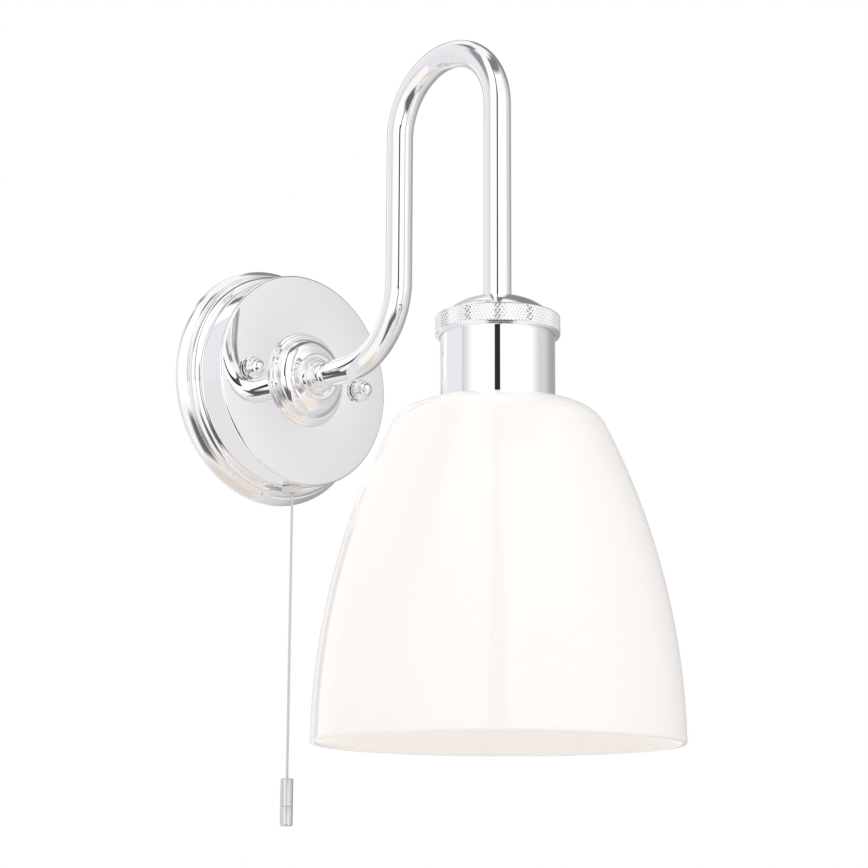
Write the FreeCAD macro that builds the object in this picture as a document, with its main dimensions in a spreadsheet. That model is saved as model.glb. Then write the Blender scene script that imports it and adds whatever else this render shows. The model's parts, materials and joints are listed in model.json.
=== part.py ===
"""A bathroom wall light with a built-in pull cord switch, as a parametric assembly of separate pieces.

The frame is in millimetres. Its origin lies on the wall, at the middle of the back plate. +X runs to the
right along the wall, +Z up, and the light stands out from the wall towards -Y. Most pieces are turned
about one of three axes: the drum's axis along Y, the shade's axis along Z and the cord's axis along Z.
"""

import FreeCAD, Part
import math
import os
import Sketcher

Vector = FreeCAD.Vector
document = FreeCAD.newDocument("PullCordWallLight")

# ---------------------------------------------------------------- driving dimensions

DIMENSIONS = {
    # drum on the wall
    "drum_radius": 50.0,
    "drum_front": 26.5,
    "sheet_metal": 1.2,
    "ring_radius": 56.5,
    "gasket_thick": 1.0,
    "plate_thick": 1.5,
    "plate_radius": 47.0,
    "entry_radius": 7.0,
    "fixing_spacing": 50.8,
    "fixing_slot_width": 4.8,
    "fixing_slot_length": 12.0,
    "stud_radius": 2.0,
    "stud_spacing": 65.4,
    "finial_radius": 5.1,
    "ball_radius": 3.7,
    "seal_thick": 0.4,
    "stud_reach": 5.0,
    # arm
    "tube_radius": 6.0,
    "tube_wall": 1.0,
    "arm_start": 39.0,
    "bend_radius": 35.0,
    "rear_leg": 91.0,
    "shade_axis": 154.15,
    "arch_height": 102.1,
    "arm_end": 12.5,
    # cord outlet and cord
    "cord_axis": 18.2,
    "cord_radius": 0.6,
    "cord_exit": 52.8,
    "cord_length": 131.8,
    "weight_radius": 2.9,
    "weight_upper_length": 12.5,
    "weight_lower_length": 8.9,
    # switch
    "switch_half_width": 12.0,
    "switch_top": 12.5,
    "switch_bottom": 45.5,
    "switch_back": 11.7,
    "switch_front": 24.7,
    "switch_wall": 1.4,
    "travel": 8.0,
    "wheel_height": 19.5,
    "wheel_radius": 5.0,
    "axle_radius": 1.0,
    "running_gap": 0.05,
    # lamp end, heights above and depths below the knurled ring's datum
    "sleeve_radius": 24.5,
    "ring_top": 6.1,
    "ring_bottom": 3.0,
    "knurl_radius": 26.9,
    "shade_top": 32.3,
    "shade_depth": 175.6,
    "shade_rim_radius": 77.7,
    "shade_corner_radius": 17.5,
    "shade_side_radius": 303.0,
    "glass_wall": 2.8,
    "holder_radius": 13.6,
    "lamp_radius": 22.5,
}


def number(size):
    """The plain value of a size, which may be a number already."""
    return size.value if isinstance(size, Size) else float(size)


def formula(size):
    """The text of a size in the spreadsheet's language."""
    return size.text if isinstance(size, Size) else repr(float(size))


class Size:
    """A length that follows the spreadsheet: its value now, and the formula that keeps it up to date."""

    def __init__(self, value, text):
        self.value = value
        self.text = text

    def __add__(self, other):
        return Size(self.value + number(other), f"({self.text} + {formula(other)})")

    def __radd__(self, other):
        return Size(number(other) + self.value, f"({formula(other)} + {self.text})")

    def __sub__(self, other):
        return Size(self.value - number(other), f"({self.text} - {formula(other)})")

    def __rsub__(self, other):
        return Size(number(other) - self.value, f"({formula(other)} - {self.text})")

    def __mul__(self, other):
        return Size(self.value * number(other), f"({self.text} * {formula(other)})")

    def __truediv__(self, other):
        return Size(self.value / number(other), f"({self.text} / {formula(other)})")

    def __neg__(self):
        return Size(-self.value, f"(-1 * {self.text})")


sheet = document.addObject("Spreadsheet::Sheet", "Dimensions")
for row, (name, value) in enumerate(DIMENSIONS.items(), start=1):
    sheet.set(f"A{row}", name)
    sheet.set(f"B{row}", str(value))
    sheet.setAlias(f"B{row}", name)
document.recompute()


class Named:
    """The sheet's cells, as sizes with their own names."""


dim = Named()
for name in DIMENSIONS:
    setattr(dim, name, Size(sheet.get(name), f"Dimensions.{name}"))

# ---------------------------------------------------------------- building blocks

AS_DRAWN = FreeCAD.Rotation()
OUTWARD = FreeCAD.Rotation(Vector(1, 0, 0), 90)  # turns a piece's own +Z to point away from the wall
SIDEWAYS = FreeCAD.Rotation(Vector(0, 1, 0), 90)  # turns a piece's own +Z to point along +X
pieces = []


def bind(thing, name, size):
    """Gives a property its value, and ties it to the sheet where the size comes from there."""
    if isinstance(size, Size):
        thing.setExpression(name, size.text)
    else:
        setattr(thing, name, size)


def place(thing, x=0.0, y=0.0, z=0.0, turn=AS_DRAWN):
    """Puts a piece at x, y, z, with its own +Z axis turned as asked."""
    thing.Placement = FreeCAD.Placement(Vector(number(x), number(y), number(z)), turn)
    for axis, size in zip("xyz", (x, y, z)):
        if isinstance(size, Size):
            thing.setExpression(f".Placement.Base.{axis}", size.text)
    return thing


def subpart(thing, name):
    """Marks a finished object as one node of the assembly."""
    thing.Label = name
    pieces.append(thing)
    return thing


def sketch_on(body, role, name):
    """An empty sketch on one of the body's own origin planes."""
    sketch = body.newObject("Sketcher::SketchObject", name)
    plane = next(feature for feature in body.Origin.OriginFeatures if feature.Role == role)
    sketch.AttachmentSupport = [(plane, "")]
    sketch.MapMode = "FlatFace"
    return sketch


def pin_point(sketch, edge, end, corner):
    """Fixes one end of an edge at a corner, both ways, from the sketch's origin."""
    for kind, axis, size in (("DistanceX", -2, corner[0]), ("DistanceY", -1, corner[1])):
        if number(size) == 0.0:
            sketch.addConstraint(Sketcher.Constraint("PointOnObject", edge, end, axis))
            continue
        index = sketch.addConstraint(Sketcher.Constraint(kind, -1, 1, edge, end, number(size)))
        if isinstance(size, Size):
            sketch.setExpression(f"Constraints[{index}]", size.text)


def arc_between(start, finish, radius, side):
    """The short arc from start to finish. side is 1 for a centre on the left of the way, -1 on the right."""
    chord = finish - start
    height = math.sqrt(max(radius**2 - (chord.Length / 2) ** 2, 0.0))
    left = Vector(-chord.y, chord.x, 0).normalize()
    centre = start + chord * 0.5 + left * (height * side)
    first, last = (start, finish) if side > 0 else (finish, start)
    angles = [math.atan2(point.y - centre.y, point.x - centre.x) for point in (first, last)]
    return Part.ArcOfCircle(Part.Circle(centre, Vector(0, 0, 1), radius), angles[0], angles[1])


def draw(sketch, corners, arcs=None, closed=True):
    """Draws sides from corner to corner. arcs gives {side number: (radius, centre side)} for round sides."""
    arcs = arcs or {}
    points = [Vector(number(x), number(y), 0) for x, y in corners]
    count = len(corners) if closed else len(corners) - 1
    ends = []
    for side in range(count):
        start, finish = points[side], points[(side + 1) % len(points)]
        if side in arcs:
            radius, hand = arcs[side]
            edge = sketch.addGeometry(arc_between(start, finish, number(radius), hand), False)
            ends.append((edge, 1, 2) if hand > 0 else (edge, 2, 1))
        else:
            edge = sketch.addGeometry(Part.LineSegment(start, finish), False)
            ends.append((edge, 1, 2))
    for side in range(count):
        edge, head, tail = ends[side]
        pin_point(sketch, edge, head, corners[side])
        if side + 1 < count or closed:
            following, following_head, _ = ends[(side + 1) % count]
            sketch.addConstraint(Sketcher.Constraint("Coincident", edge, tail, following, following_head))
        else:
            pin_point(sketch, edge, tail, corners[side + 1])
        if side in arcs:
            radius = arcs[side][0]
            index = sketch.addConstraint(Sketcher.Constraint("Radius", edge, number(radius)))
            if isinstance(radius, Size):
                sketch.setExpression(f"Constraints[{index}]", radius.text)
    return sketch


def turned(name, corners, arcs=None):
    """A piece turned about its own Z axis from a profile of (radius, height) corners."""
    body = document.addObject("PartDesign::Body", name)
    profile = draw(sketch_on(body, "XZ_Plane", f"{name}_profile"), corners, arcs)
    turning = body.newObject("PartDesign::Revolution", f"{name}_turning")
    turning.Profile = profile
    turning.ReferenceAxis = (profile, ["V_Axis"])
    turning.Angle = 360
    body.Tip = turning
    return body


def ring(name, inner, outer, low, high):
    """A plain ring, or a disc where inner is 0, between two heights."""
    return turned(name, [(inner, low), (outer, low), (outer, high), (inner, high)])


def circle_outline(radius):
    """An outline for plate(): a circle about the sketch's origin."""

    def draw_circle(sketch):
        edge = sketch.addGeometry(Part.Circle(Vector(0, 0, 0), Vector(0, 0, 1), number(radius)), False)
        sketch.addConstraint(Sketcher.Constraint("Coincident", edge, 3, -1, 1))
        index = sketch.addConstraint(Sketcher.Constraint("Radius", edge, number(radius)))
        if isinstance(radius, Size):
            sketch.setExpression(f"Constraints[{index}]", radius.text)
        return sketch

    return draw_circle


def corner_outline(corners, arcs=None):
    """An outline for plate(): sides from corner to corner."""
    return lambda sketch: draw(sketch, corners, arcs)


def plate(name, outline, thickness, holes=()):
    """A flat plate of any outline on its own XY plane, with a pocket through it for each hole's outline."""
    body = document.addObject("PartDesign::Body", name)
    pad = body.newObject("PartDesign::Pad", f"{name}_pad")
    pad.Profile = outline(sketch_on(body, "XY_Plane", f"{name}_outline"))
    bind(pad, "Length", thickness)
    body.Tip = pad
    document.recompute()
    volume = pad.Shape.Volume
    for index, hole in enumerate(holes, start=1):
        pocket = body.newObject("PartDesign::Pocket", f"{name}_cutout{index}")
        pocket.Profile = hole(sketch_on(body, "XY_Plane", f"{name}_hole{index}"))
        pocket.Type = "ThroughAll"
        pocket.Midplane = True
        body.Tip = pocket
        document.recompute()
        if pocket.Shape.Volume >= volume:
            raise RuntimeError(f"cutout {index} of {name} removed nothing")
        volume = pocket.Shape.Volume
    return body


def cylinder(name, radius, height):
    """A plain cylinder on its own Z axis."""
    solid = document.addObject("Part::Cylinder", name)
    bind(solid, "Radius", radius)
    bind(solid, "Height", height)
    return solid


def box(name, low, high):
    """A block between two opposite corners, in the assembly's frame."""
    solid = document.addObject("Part::Box", name)
    for side, start, end in zip(("Length", "Width", "Height"), low, high):
        bind(solid, side, end - start)
    return place(solid, *low)


def hexagon(name, across_flats, thickness):
    """A six-sided nut blank on its own Z axis."""
    solid = document.addObject("Part::Prism", name)
    solid.Polygon = 6
    bind(solid, "Circumradius", across_flats / math.sqrt(3.0))
    bind(solid, "Height", thickness)
    return solid


def cut(name, base, *tools):
    """base with every tool taken away."""
    result = base
    for index, tool in enumerate(tools, start=1):
        step = document.addObject("Part::Cut", name if index == len(tools) else f"{name}_step{index}")
        step.Base = result
        step.Tool = tool
        result = step
    return result


def fuse(name, *solids):
    """Several touching solids as one."""
    result = document.addObject("Part::MultiFuse", name)
    result.Shapes = list(solids)
    return result


def group(name, *solids):
    """Identical fasteners kept as separate solids of one node."""
    result = document.addObject("Part::Compound", name)
    result.Links = list(solids)
    return result


def rounded_path(points, radii):
    """A wire of straight runs through the points, with a tangent arc of the given radius at each turn."""
    edges = []
    begin = points[0]
    for corner, radius, before, after in zip(points[1:], radii, points, points[2:]):
        arriving = (corner - before).normalize()
        leaving = (after - corner).normalize()
        turn = arriving.getAngle(leaving)
        setback = radius * math.tan(turn / 2)
        bisector = (leaving - arriving).normalize()
        middle = corner + bisector * (radius / math.cos(turn / 2) - radius)
        entry = corner - arriving * setback
        departure = corner + leaving * setback
        if (entry - begin).Length > 1e-6:
            edges.append(Part.LineSegment(begin, entry).toShape())
        edges.append(Part.Arc(entry, middle, departure).toShape())
        begin = departure
    edges.append(Part.LineSegment(begin, points[-1]).toShape())
    return Part.Wire(edges)


def wire(name, points, radii, radius):
    """A round insulated conductor along a rounded path in space, as a plain solid."""
    path = rounded_path(points, radii)
    section = Part.Wire(Part.Circle(points[0], path.Edges[0].tangentAt(0), radius).toShape())
    solid = path.makePipeShell([section], True, True)
    expected = math.pi * radius**2 * path.Length
    if abs(solid.Volume - expected) > 0.01 * expected:
        raise RuntimeError(f"{name} doesn't have the volume of its section times its length")
    feature = document.addObject("Part::Feature", name)
    feature.Shape = solid
    return feature


# ---------------------------------------------------------------- back plate, studs and gasket

half_slot = dim.fixing_slot_width / 2
slot_reach = (dim.fixing_slot_length - dim.fixing_slot_width) / 2


def fixing_slot(middle):
    """The outline of one upright slot for a wall screw, centred at a height."""
    low, high = middle - slot_reach, middle + slot_reach
    corners = [
        (half_slot, low),
        (half_slot, high),
        (0.0, high + half_slot),
        (-half_slot, high),
        (-half_slot, low),
        (0.0, low - half_slot),
    ]
    return corner_outline(corners, {side: (half_slot, 1) for side in (1, 2, 4, 5)})


half_spacing = dim.fixing_spacing / 2
back_plate = plate(
    "back_plate_steel",
    circle_outline(dim.plate_radius),
    dim.plate_thick,
    [fixing_slot(-half_spacing), fixing_slot(half_spacing), circle_outline(dim.entry_radius)],
)
subpart(place(back_plate, turn=OUTWARD), "back_plate")

grommet = turned(
    "cable_grommet",
    [
        (4.0, 0.0),
        (dim.entry_radius, 0.0),
        (dim.entry_radius, dim.plate_thick),
        (dim.entry_radius + 2.5, dim.plate_thick),
        (dim.entry_radius + 2.5, dim.plate_thick + 1.2),
        (4.0, dim.plate_thick + 2.7),
    ],
)
subpart(place(grommet, turn=OUTWARD), "cable_grommet")

gasket = ring("wall_gasket", dim.drum_radius + 0.4, dim.ring_radius - 0.8, 0.0, dim.gasket_thick)
subpart(place(gasket, turn=OUTWARD), "wall_gasket")

stud_length = dim.drum_front + dim.stud_reach - dim.plate_thick


def cover_stud(side):
    """One stud riveted to the back plate, with its collar; side is -1 or 1."""
    across = dim.stud_spacing / 2 * side
    shank = place(cylinder("stud_shank", dim.stud_radius, stud_length), across, -dim.plate_thick, 0.0, OUTWARD)
    collar = place(cylinder("stud_collar", 3.6, 1.4), across, -dim.plate_thick, 0.0, OUTWARD)
    return fuse("cover_stud", shank, collar)


subpart(group("cover_studs", cover_stud(-1), cover_stud(1)), "cover_studs")

earth = turned(
    "earth_screw",
    [(0.0, 0.0), (4.2, 0.0), (4.2, 0.8), (3.4, 0.8), (3.4, 3.4), (2.0, 3.4), (2.0, 5.6), (0.0, 5.6)],
)
subpart(place(earth, -21.0, -dim.plate_thick, 12.0, OUTWARD), "earth_screw")

# ---------------------------------------------------------------- base ring and drum

base_ring = turned(
    "base_ring",
    [
        (dim.drum_radius, dim.gasket_thick),
        (dim.ring_radius, dim.gasket_thick),
        (dim.ring_radius, 2.6),
        (dim.drum_radius + 3.9, 6.3),
        (dim.drum_radius + 3.1, 6.3),
        (dim.drum_radius + 3.1, 7.0),
        (dim.drum_radius + 0.6, 10.6),
        (dim.drum_radius, 10.6),
    ],
    {2: (12.0, 1), 5: (2.9, 1)},
)
subpart(place(base_ring, turn=OUTWARD), "base_ring")

inner_radius = dim.drum_radius - dim.sheet_metal
drum_shell = turned(
    "drum_shell",
    [
        (inner_radius, 2.0),
        (dim.drum_radius, 2.0),
        (dim.drum_radius, dim.drum_front - 1.3),
        (dim.drum_radius - 1.3, dim.drum_front),
        (0.0, dim.drum_front),
        (0.0, dim.drum_front - dim.sheet_metal),
        (inner_radius, dim.drum_front - dim.sheet_metal),
    ],
    {2: (1.3, 1)},
)
place(drum_shell, turn=OUTWARD)


def front_hole(name, radius, across):
    """A tool for a hole through the drum's front."""
    return place(cylinder(name, radius, 6.0), across, -(dim.drum_front - 3.0), 0.0, OUTWARD)


outlet_hole = place(cylinder("outlet_hole", 3.6, 8.0), 0.0, -dim.cord_axis, -dim.drum_radius - 3.0)
drum_cover = cut(
    "drum_cover",
    drum_shell,
    front_hole("nipple_hole", 5.1, 0.0),
    front_hole("left_stud_hole", 2.3, -dim.stud_spacing / 2),
    front_hole("right_stud_hole", 2.3, dim.stud_spacing / 2),
    outlet_hole,
)
subpart(drum_cover, "drum_cover")

# ---------------------------------------------------------------- finial nuts

finial_start = dim.drum_front + dim.seal_thick
knurl_top = 3.0
ball_middle = 4.1
dome_foot = math.sqrt(dim.ball_radius.value**2 - (ball_middle - knurl_top) ** 2)
thread_clearance = dim.stud_radius + dim.running_gap

seals = []
for side, name in ((-1, "finial_nut_left"), (1, "finial_nut_right")):
    across = dim.stud_spacing / 2 * side
    seal = ring(f"seal{side + 2}", 2.1, 4.2, dim.drum_front, finial_start)
    seals.append(place(seal, across, turn=OUTWARD))
    nut = turned(
        name,
        [
            (thread_clearance, 0.0),
            (dim.finial_radius, 0.0),
            (dim.finial_radius, knurl_top - 0.5),
            (dim.finial_radius - 0.5, knurl_top),
            (dome_foot, knurl_top),
            (dim.ball_radius, ball_middle),
            (0.0, ball_middle + dim.ball_radius),
            (0.0, 5.6),
            (thread_clearance, 5.4),
        ],
        {4: (dim.ball_radius, 1), 5: (dim.ball_radius, 1)},
    )
    subpart(place(nut, across, -finial_start, 0.0, OUTWARD), name)
subpart(group("finial_seals", *seals), "finial_seals")

# ---------------------------------------------------------------- boss where the arm leaves the drum

boss_base = turned(
    "boss_base",
    [
        (5.0, 0.0),
        (22.0, 0.0),
        (22.0, 1.0),
        (20.9, 1.3),
        (20.9, 2.2),
        (19.6, 2.5),
        (19.6, 3.2),
        (5.0, 3.2),
    ],
    {1: (0.6, 1), 3: (0.6, 1), 5: (0.5, 1)},
)
subpart(place(boss_base, y=-dim.drum_front, turn=OUTWARD), "boss_base")

boss_dome = turned(
    "boss_dome",
    [
        (5.0, 3.2),
        (18.9, 3.2),
        (18.9, 4.2),
        (13.6, 7.6),
        (11.0, 8.4),
        (10.6, 9.8),
        (9.0, 9.8),
        (8.0, 8.4),
        (5.0, 8.4),
    ],
    {2: (6.5, 1), 4: (0.9, 1)},
)
subpart(place(boss_dome, y=-dim.drum_front, turn=OUTWARD), "boss_dome")

arm_collar = turned(
    "arm_collar",
    [
        (5.0, 8.4),
        (7.6, 8.4),
        (7.6, 10.4),
        (6.4, 11.2),
        (6.4, 12.5),
        (5.0, 12.5),
    ],
    {2: (1.2, 1)},
)
subpart(place(arm_collar, y=-dim.drum_front, turn=OUTWARD), "arm_collar")

nipple = ring("threaded_nipple", 3.9, 5.0, 19.0, 46.0)
subpart(place(nipple, turn=OUTWARD), "threaded_nipple")
inside_front = dim.drum_front - dim.sheet_metal
lock_washer = ring("lock_washer", 5.05, 8.5, inside_front - 1.0, inside_front)
subpart(place(lock_washer, turn=OUTWARD), "lock_washer")
nut_blank = place(hexagon("nipple_nut_blank", 14.0, 3.0), 0.0, -(inside_front - 4.0), 0.0, OUTWARD)
nut_bore = place(cylinder("nipple_nut_bore", 5.0, 6.0), 0.0, -(inside_front - 5.0), 0.0, OUTWARD)
subpart(cut("nipple_nut", nut_blank, nut_bore), "nipple_nut")

# ---------------------------------------------------------------- swan neck arm

tube_bore = dim.tube_radius - dim.tube_wall
arch_radius = (dim.shade_axis - dim.rear_leg) / 2
arm = document.addObject("PartDesign::Body", "swan_neck_arm")
centre_line = draw(
    sketch_on(arm, "YZ_Plane", "arm_centre_line"),
    [
        (-dim.arm_start, 0.0),
        (-(dim.rear_leg - dim.bend_radius), 0.0),
        (-dim.rear_leg, dim.bend_radius),
        (-dim.rear_leg, dim.arch_height),
        (-(dim.rear_leg + arch_radius), dim.arch_height + arch_radius),
        (-dim.shade_axis, dim.arch_height),
        (-dim.shade_axis, dim.arm_end),
    ],
    {1: (dim.bend_radius, -1), 3: (arch_radius, 1), 4: (arch_radius, 1)},
    closed=False,
)
section = sketch_on(arm, "XZ_Plane", "arm_section")
section.AttachmentOffset = FreeCAD.Placement(Vector(0, 0, dim.arm_start.value), AS_DRAWN)
section.setExpression(".AttachmentOffset.Base.z", dim.arm_start.text)
for radius in (dim.tube_radius, tube_bore):
    circle = section.addGeometry(Part.Circle(Vector(0, 0, 0), Vector(0, 0, 1), radius.value), False)
    section.addConstraint(Sketcher.Constraint("Coincident", circle, 3, -1, 1))
    index = section.addConstraint(Sketcher.Constraint("Radius", circle, radius.value))
    section.setExpression(f"Constraints[{index}]", radius.text)
tube = arm.newObject("PartDesign::AdditivePipe", "arm_tube")
tube.Profile = section
tube.Spine = (centre_line, [f"Edge{edge}" for edge in range(1, 7)])
arm.Tip = tube
subpart(arm, "swan_neck_arm")

cable_run = [
    Vector(0, -7.5, 15.0),
    Vector(0, -7.5, 0),
    Vector(0, -dim.rear_leg.value, 0),
    Vector(0, -dim.rear_leg.value, dim.arch_height.value + arch_radius.value),
    Vector(0, -dim.shade_axis.value, dim.arch_height.value + arch_radius.value),
    Vector(0, -dim.shade_axis.value, 2.0),
]
cable_bends = [8.0, dim.bend_radius.value, arch_radius.value * 0.99999, arch_radius.value * 0.99999]
subpart(wire("arm_cable", cable_run, cable_bends, 2.2), "arm_cable")

# ---------------------------------------------------------------- terminal block

block_low = (-15.0, -13.0, 16.0)
block_high = (15.0, -dim.plate_thick, 31.0)
block = box("block_body", block_low, block_high)
screw_places = [(across, height) for height in (19.6, 27.4) for across in (-10.0, 0.0, 10.0)]
screw_wells = []
block_screws = []
for index, (across, height) in enumerate(screw_places):
    well = place(cylinder(f"screw_well{index}", 1.7, 4.0), across, -9.5, height, OUTWARD)
    screw_wells.append(well)
    head = place(cylinder(f"block_screw{index}", 1.65, 2.4), across, -9.5, height, OUTWARD)
    block_screws.append(head)
middle_hole = place(cylinder("block_fixing_hole", 1.6, 14.0), 5.0, -0.5, 23.5, OUTWARD)
subpart(cut("terminal_block", block, middle_hole, *screw_wells), "terminal_block")
subpart(group("terminal_screws", *block_screws), "terminal_screws")
fixing = turned(
    "block_fixing_screw",
    [(0.0, 0.0), (1.55, 0.0), (1.55, 11.5), (2.7, 11.5), (2.7, 13.0), (0.0, 13.0)],
)
subpart(place(fixing, 5.0, -dim.plate_thick, 23.5, OUTWARD), "block_fixing_screw")

# ---------------------------------------------------------------- pull switch

half = dim.switch_half_width
wall = dim.switch_wall
lid_thick = 1.2
lid_front = dim.switch_back + lid_thick
shell = box(
    "switch_block",
    (-half, -dim.switch_front, -dim.switch_bottom),
    (half, -lid_front, -dim.switch_top),
)
cavity = box(
    "switch_cavity",
    (-half + wall, -dim.switch_front + wall, -dim.switch_bottom + wall),
    (half - wall, -lid_front + 1.0, -dim.switch_top - wall),
)
barrel_length = dim.cord_exit - dim.switch_bottom
barrel = place(cylinder("switch_barrel", 3.5, barrel_length), 0.0, -dim.cord_axis, -dim.cord_exit)
cord_way = place(cylinder("cord_way", 1.6, 12.0), 0.0, -dim.cord_axis, -dim.cord_exit - 1.0)
switch_body = cut("switch_body", fuse("switch_casing", cut("switch_shell", shell, cavity), barrel), cord_way)
subpart(switch_body, "switch_body")

lid = box(
    "lid_block",
    (-half, -lid_front, -dim.switch_bottom),
    (half, -dim.switch_back, -dim.switch_top),
)
wire_ports = [
    place(cylinder(f"wire_port{index}", 1.3, 4.0), across, -dim.switch_back + 1.0, -31.0, OUTWARD)
    for index, across in enumerate((-9.0, 9.0))
]
subpart(cut("switch_lid", lid, *wire_ports), "switch_lid")

nut_thick = dim.cord_exit - dim.drum_radius
nut_turn = FreeCAD.Rotation(Vector(0, 0, 1), 47)
outlet_blank = hexagon("outlet_nut_blank", 9.2, nut_thick)
place(outlet_blank, 0.0, -dim.cord_axis, -dim.cord_exit, nut_turn)
outlet_bore = place(cylinder("outlet_nut_bore", 3.5, 8.0), 0.0, -dim.cord_axis, -dim.cord_exit - 2.0)
subpart(cut("outlet_nut", outlet_blank, outlet_bore), "outlet_nut")

axle_length = dim.switch_front - wall - lid_front
axle = place(cylinder("ratchet_axle", dim.axle_radius, axle_length), 0.0, -lid_front, -dim.wheel_height, OUTWARD)
subpart(axle, "ratchet_axle")


def ratchet_outline(teeth, tip, root):
    """The saw-tooth outline of the ratchet wheel."""
    corners = []
    for tooth in range(teeth):
        angle = 2 * math.pi * tooth / teeth
        for radius in (tip, root):
            corners.append((radius * math.cos(angle), radius * math.sin(angle)))
    return corner_outline(corners)


wheel_bore = dim.axle_radius + dim.running_gap
toothed = plate("ratchet_teeth", ratchet_outline(8, dim.wheel_radius, dim.wheel_radius - 1.3), 4.0)
place(toothed, 0.0, -15.5, -dim.wheel_height, OUTWARD)
cam = plate("ratchet_cam", ratchet_outline(4, dim.wheel_radius - 1.6, dim.wheel_radius - 2.4), 2.2)
place(cam, 0.0, -19.5, -dim.wheel_height, OUTWARD)
wheel_hole = place(cylinder("wheel_hole", wheel_bore, 10.0), 0.0, -14.0, -dim.wheel_height, OUTWARD)
subpart(cut("ratchet_wheel", fuse("ratchet_blank", toothed, cam), wheel_hole), "ratchet_wheel")

head_top = -25.3
head_bottom = -30.0
cavity_floor = -dim.switch_bottom + wall
stem_bottom = cavity_floor + dim.travel + 1.1  # the stem stops this far above the floor when pulled down
head = box("slider_head", (-7.0, -22.0, head_bottom), (7.0, -14.4, head_top))
stem_length = head_bottom + 0.2 - stem_bottom  # 0.2 of it is sunk in the head
stem = place(cylinder("slider_stem", 2.0, stem_length), 0.0, -dim.cord_axis, stem_bottom)
cord_hole = place(cylinder("slider_cord_hole", dim.cord_radius, 12.0), 0.0, -dim.cord_axis, -36.0)
knot_pocket = place(cylinder("knot_pocket", 1.8, 3.0), 0.0, -dim.cord_axis, head_top - 2.4)
subpart(cut("pull_slider", fuse("slider_blank", head, stem), cord_hole, knot_pocket), "pull_slider")

knot = document.addObject("Part::Sphere", "knot_ball")
knot.Radius = 1.5
tail_top = head_top - 2.4
flat_under_knot = place(cylinder("flat_under_knot", 1.6, 3.0), 0.0, -dim.cord_axis, tail_top - 3.0)
place(knot, 0.0, -dim.cord_axis, tail_top + 1.2)
subpart(cut("cord_knot", knot, flat_under_knot), "cord_knot")
# the tail stops just above the rounded top of the hanging cord, which swings about the outlet
tail_bottom = -dim.cord_exit + dim.cord_radius + 0.05
tail = place(cylinder("cord_tail", dim.cord_radius, tail_top - tail_bottom), 0.0, -dim.cord_axis, tail_bottom)
subpart(tail, "cord_tail")

pawl_strip = box("pawl_strip", (6.1, -19.0, head_top), (6.5, -16.0, -16.4))
pawl_nose = box("pawl_nose", (5.4, -19.0, -17.4), (6.1, -16.0, -16.4))
pawl_foot = box("pawl_foot", (3.0, -19.0, head_top), (6.1, -16.0, head_top + 0.4))
subpart(fuse("pawl", pawl_strip, pawl_nose, pawl_foot), "pawl")

spring_height = 14.1
coil = document.addObject("Part::Helix", "spring_line")
coil.Pitch = 2.15
coil.Height = spring_height - 1.2
coil.Radius = 2.85
wire_section = document.addObject("Part::Circle", "spring_section")
wire_section.Radius = 0.25
wire_section.Placement = FreeCAD.Placement(Vector(2.85, 0, 0), OUTWARD)
spring = document.addObject("Part::Sweep", "return_spring")
spring.Sections = [wire_section]
spring.Spine = (coil, [])
spring.Solid = True
spring.Frenet = True
subpart(place(spring, 0.0, -dim.cord_axis, cavity_floor + 0.6), "return_spring")

terminals = []
terminal_screws = []
for index, (low_side, high_side) in enumerate(((-10.5, -7.6), (7.6, 10.5))):
    middle = (low_side + high_side) / 2
    terminal = box(f"terminal{index}", (low_side, -20.0, -43.6), (high_side, -15.0, -35.0))
    bore = place(cylinder(f"terminal_bore{index}", 1.1, 8.0), middle, -14.0, -38.0, OUTWARD)
    terminals.append(cut(f"switch_terminal{index}", terminal, bore))
    shank = place(cylinder(f"terminal_shank{index}", 1.1, 4.2), middle, -14.2, -38.0, OUTWARD)
    screw_head = place(cylinder(f"terminal_head{index}", 1.4, 1.0), middle, -14.0, -38.0, OUTWARD)
    terminal_screws.append(fuse(f"terminal_screw{index}", shank, screw_head))
subpart(group("switch_terminals", *terminals), "switch_terminals")
subpart(group("switch_terminal_screws", *terminal_screws), "switch_terminal_screws")

leaf_strip = box("leaf_strip", (8.6, -22.6, -34.8), (8.9, -20.4, -16.0))
leaf_button = place(cylinder("leaf_button", 0.8, 0.5), 8.8, -21.5, -17.4, SIDEWAYS)
subpart(fuse("contact_leaf", leaf_strip, leaf_button), "contact_leaf")
fixed_strip = box("fixed_strip", (10.1, -22.6, -34.8), (10.4, -20.4, -14.1))
fixed_bridge = box("fixed_bridge", (-10.4, -22.6, -14.4), (10.1, -20.4, -14.1))
fixed_drop = box("fixed_drop", (-10.4, -22.6, -36.0), (-10.1, -20.4, -14.4))
subpart(fuse("fixed_contact", fixed_strip, fixed_bridge, fixed_drop), "fixed_contact")

live_run = [
    Vector(-10.0, -5.5, 16.0),
    Vector(-10.0, -5.5, -20.0),
    Vector(-9.0, -5.5, -31.0),
    Vector(-9.0, -13.8, -31.0),
]
subpart(wire("wire_live", live_run, [30.0, 3.5], 1.1), "wire_live")
switched_run = [
    Vector(10.0, -5.5, 16.0),
    Vector(10.0, -5.5, -20.0),
    Vector(9.0, -5.5, -31.0),
    Vector(9.0, -13.8, -31.0),
]
subpart(wire("wire_switched", switched_run, [30.0, 3.5], 1.1), "wire_switched")

# ---------------------------------------------------------------- cord and its weight

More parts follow.
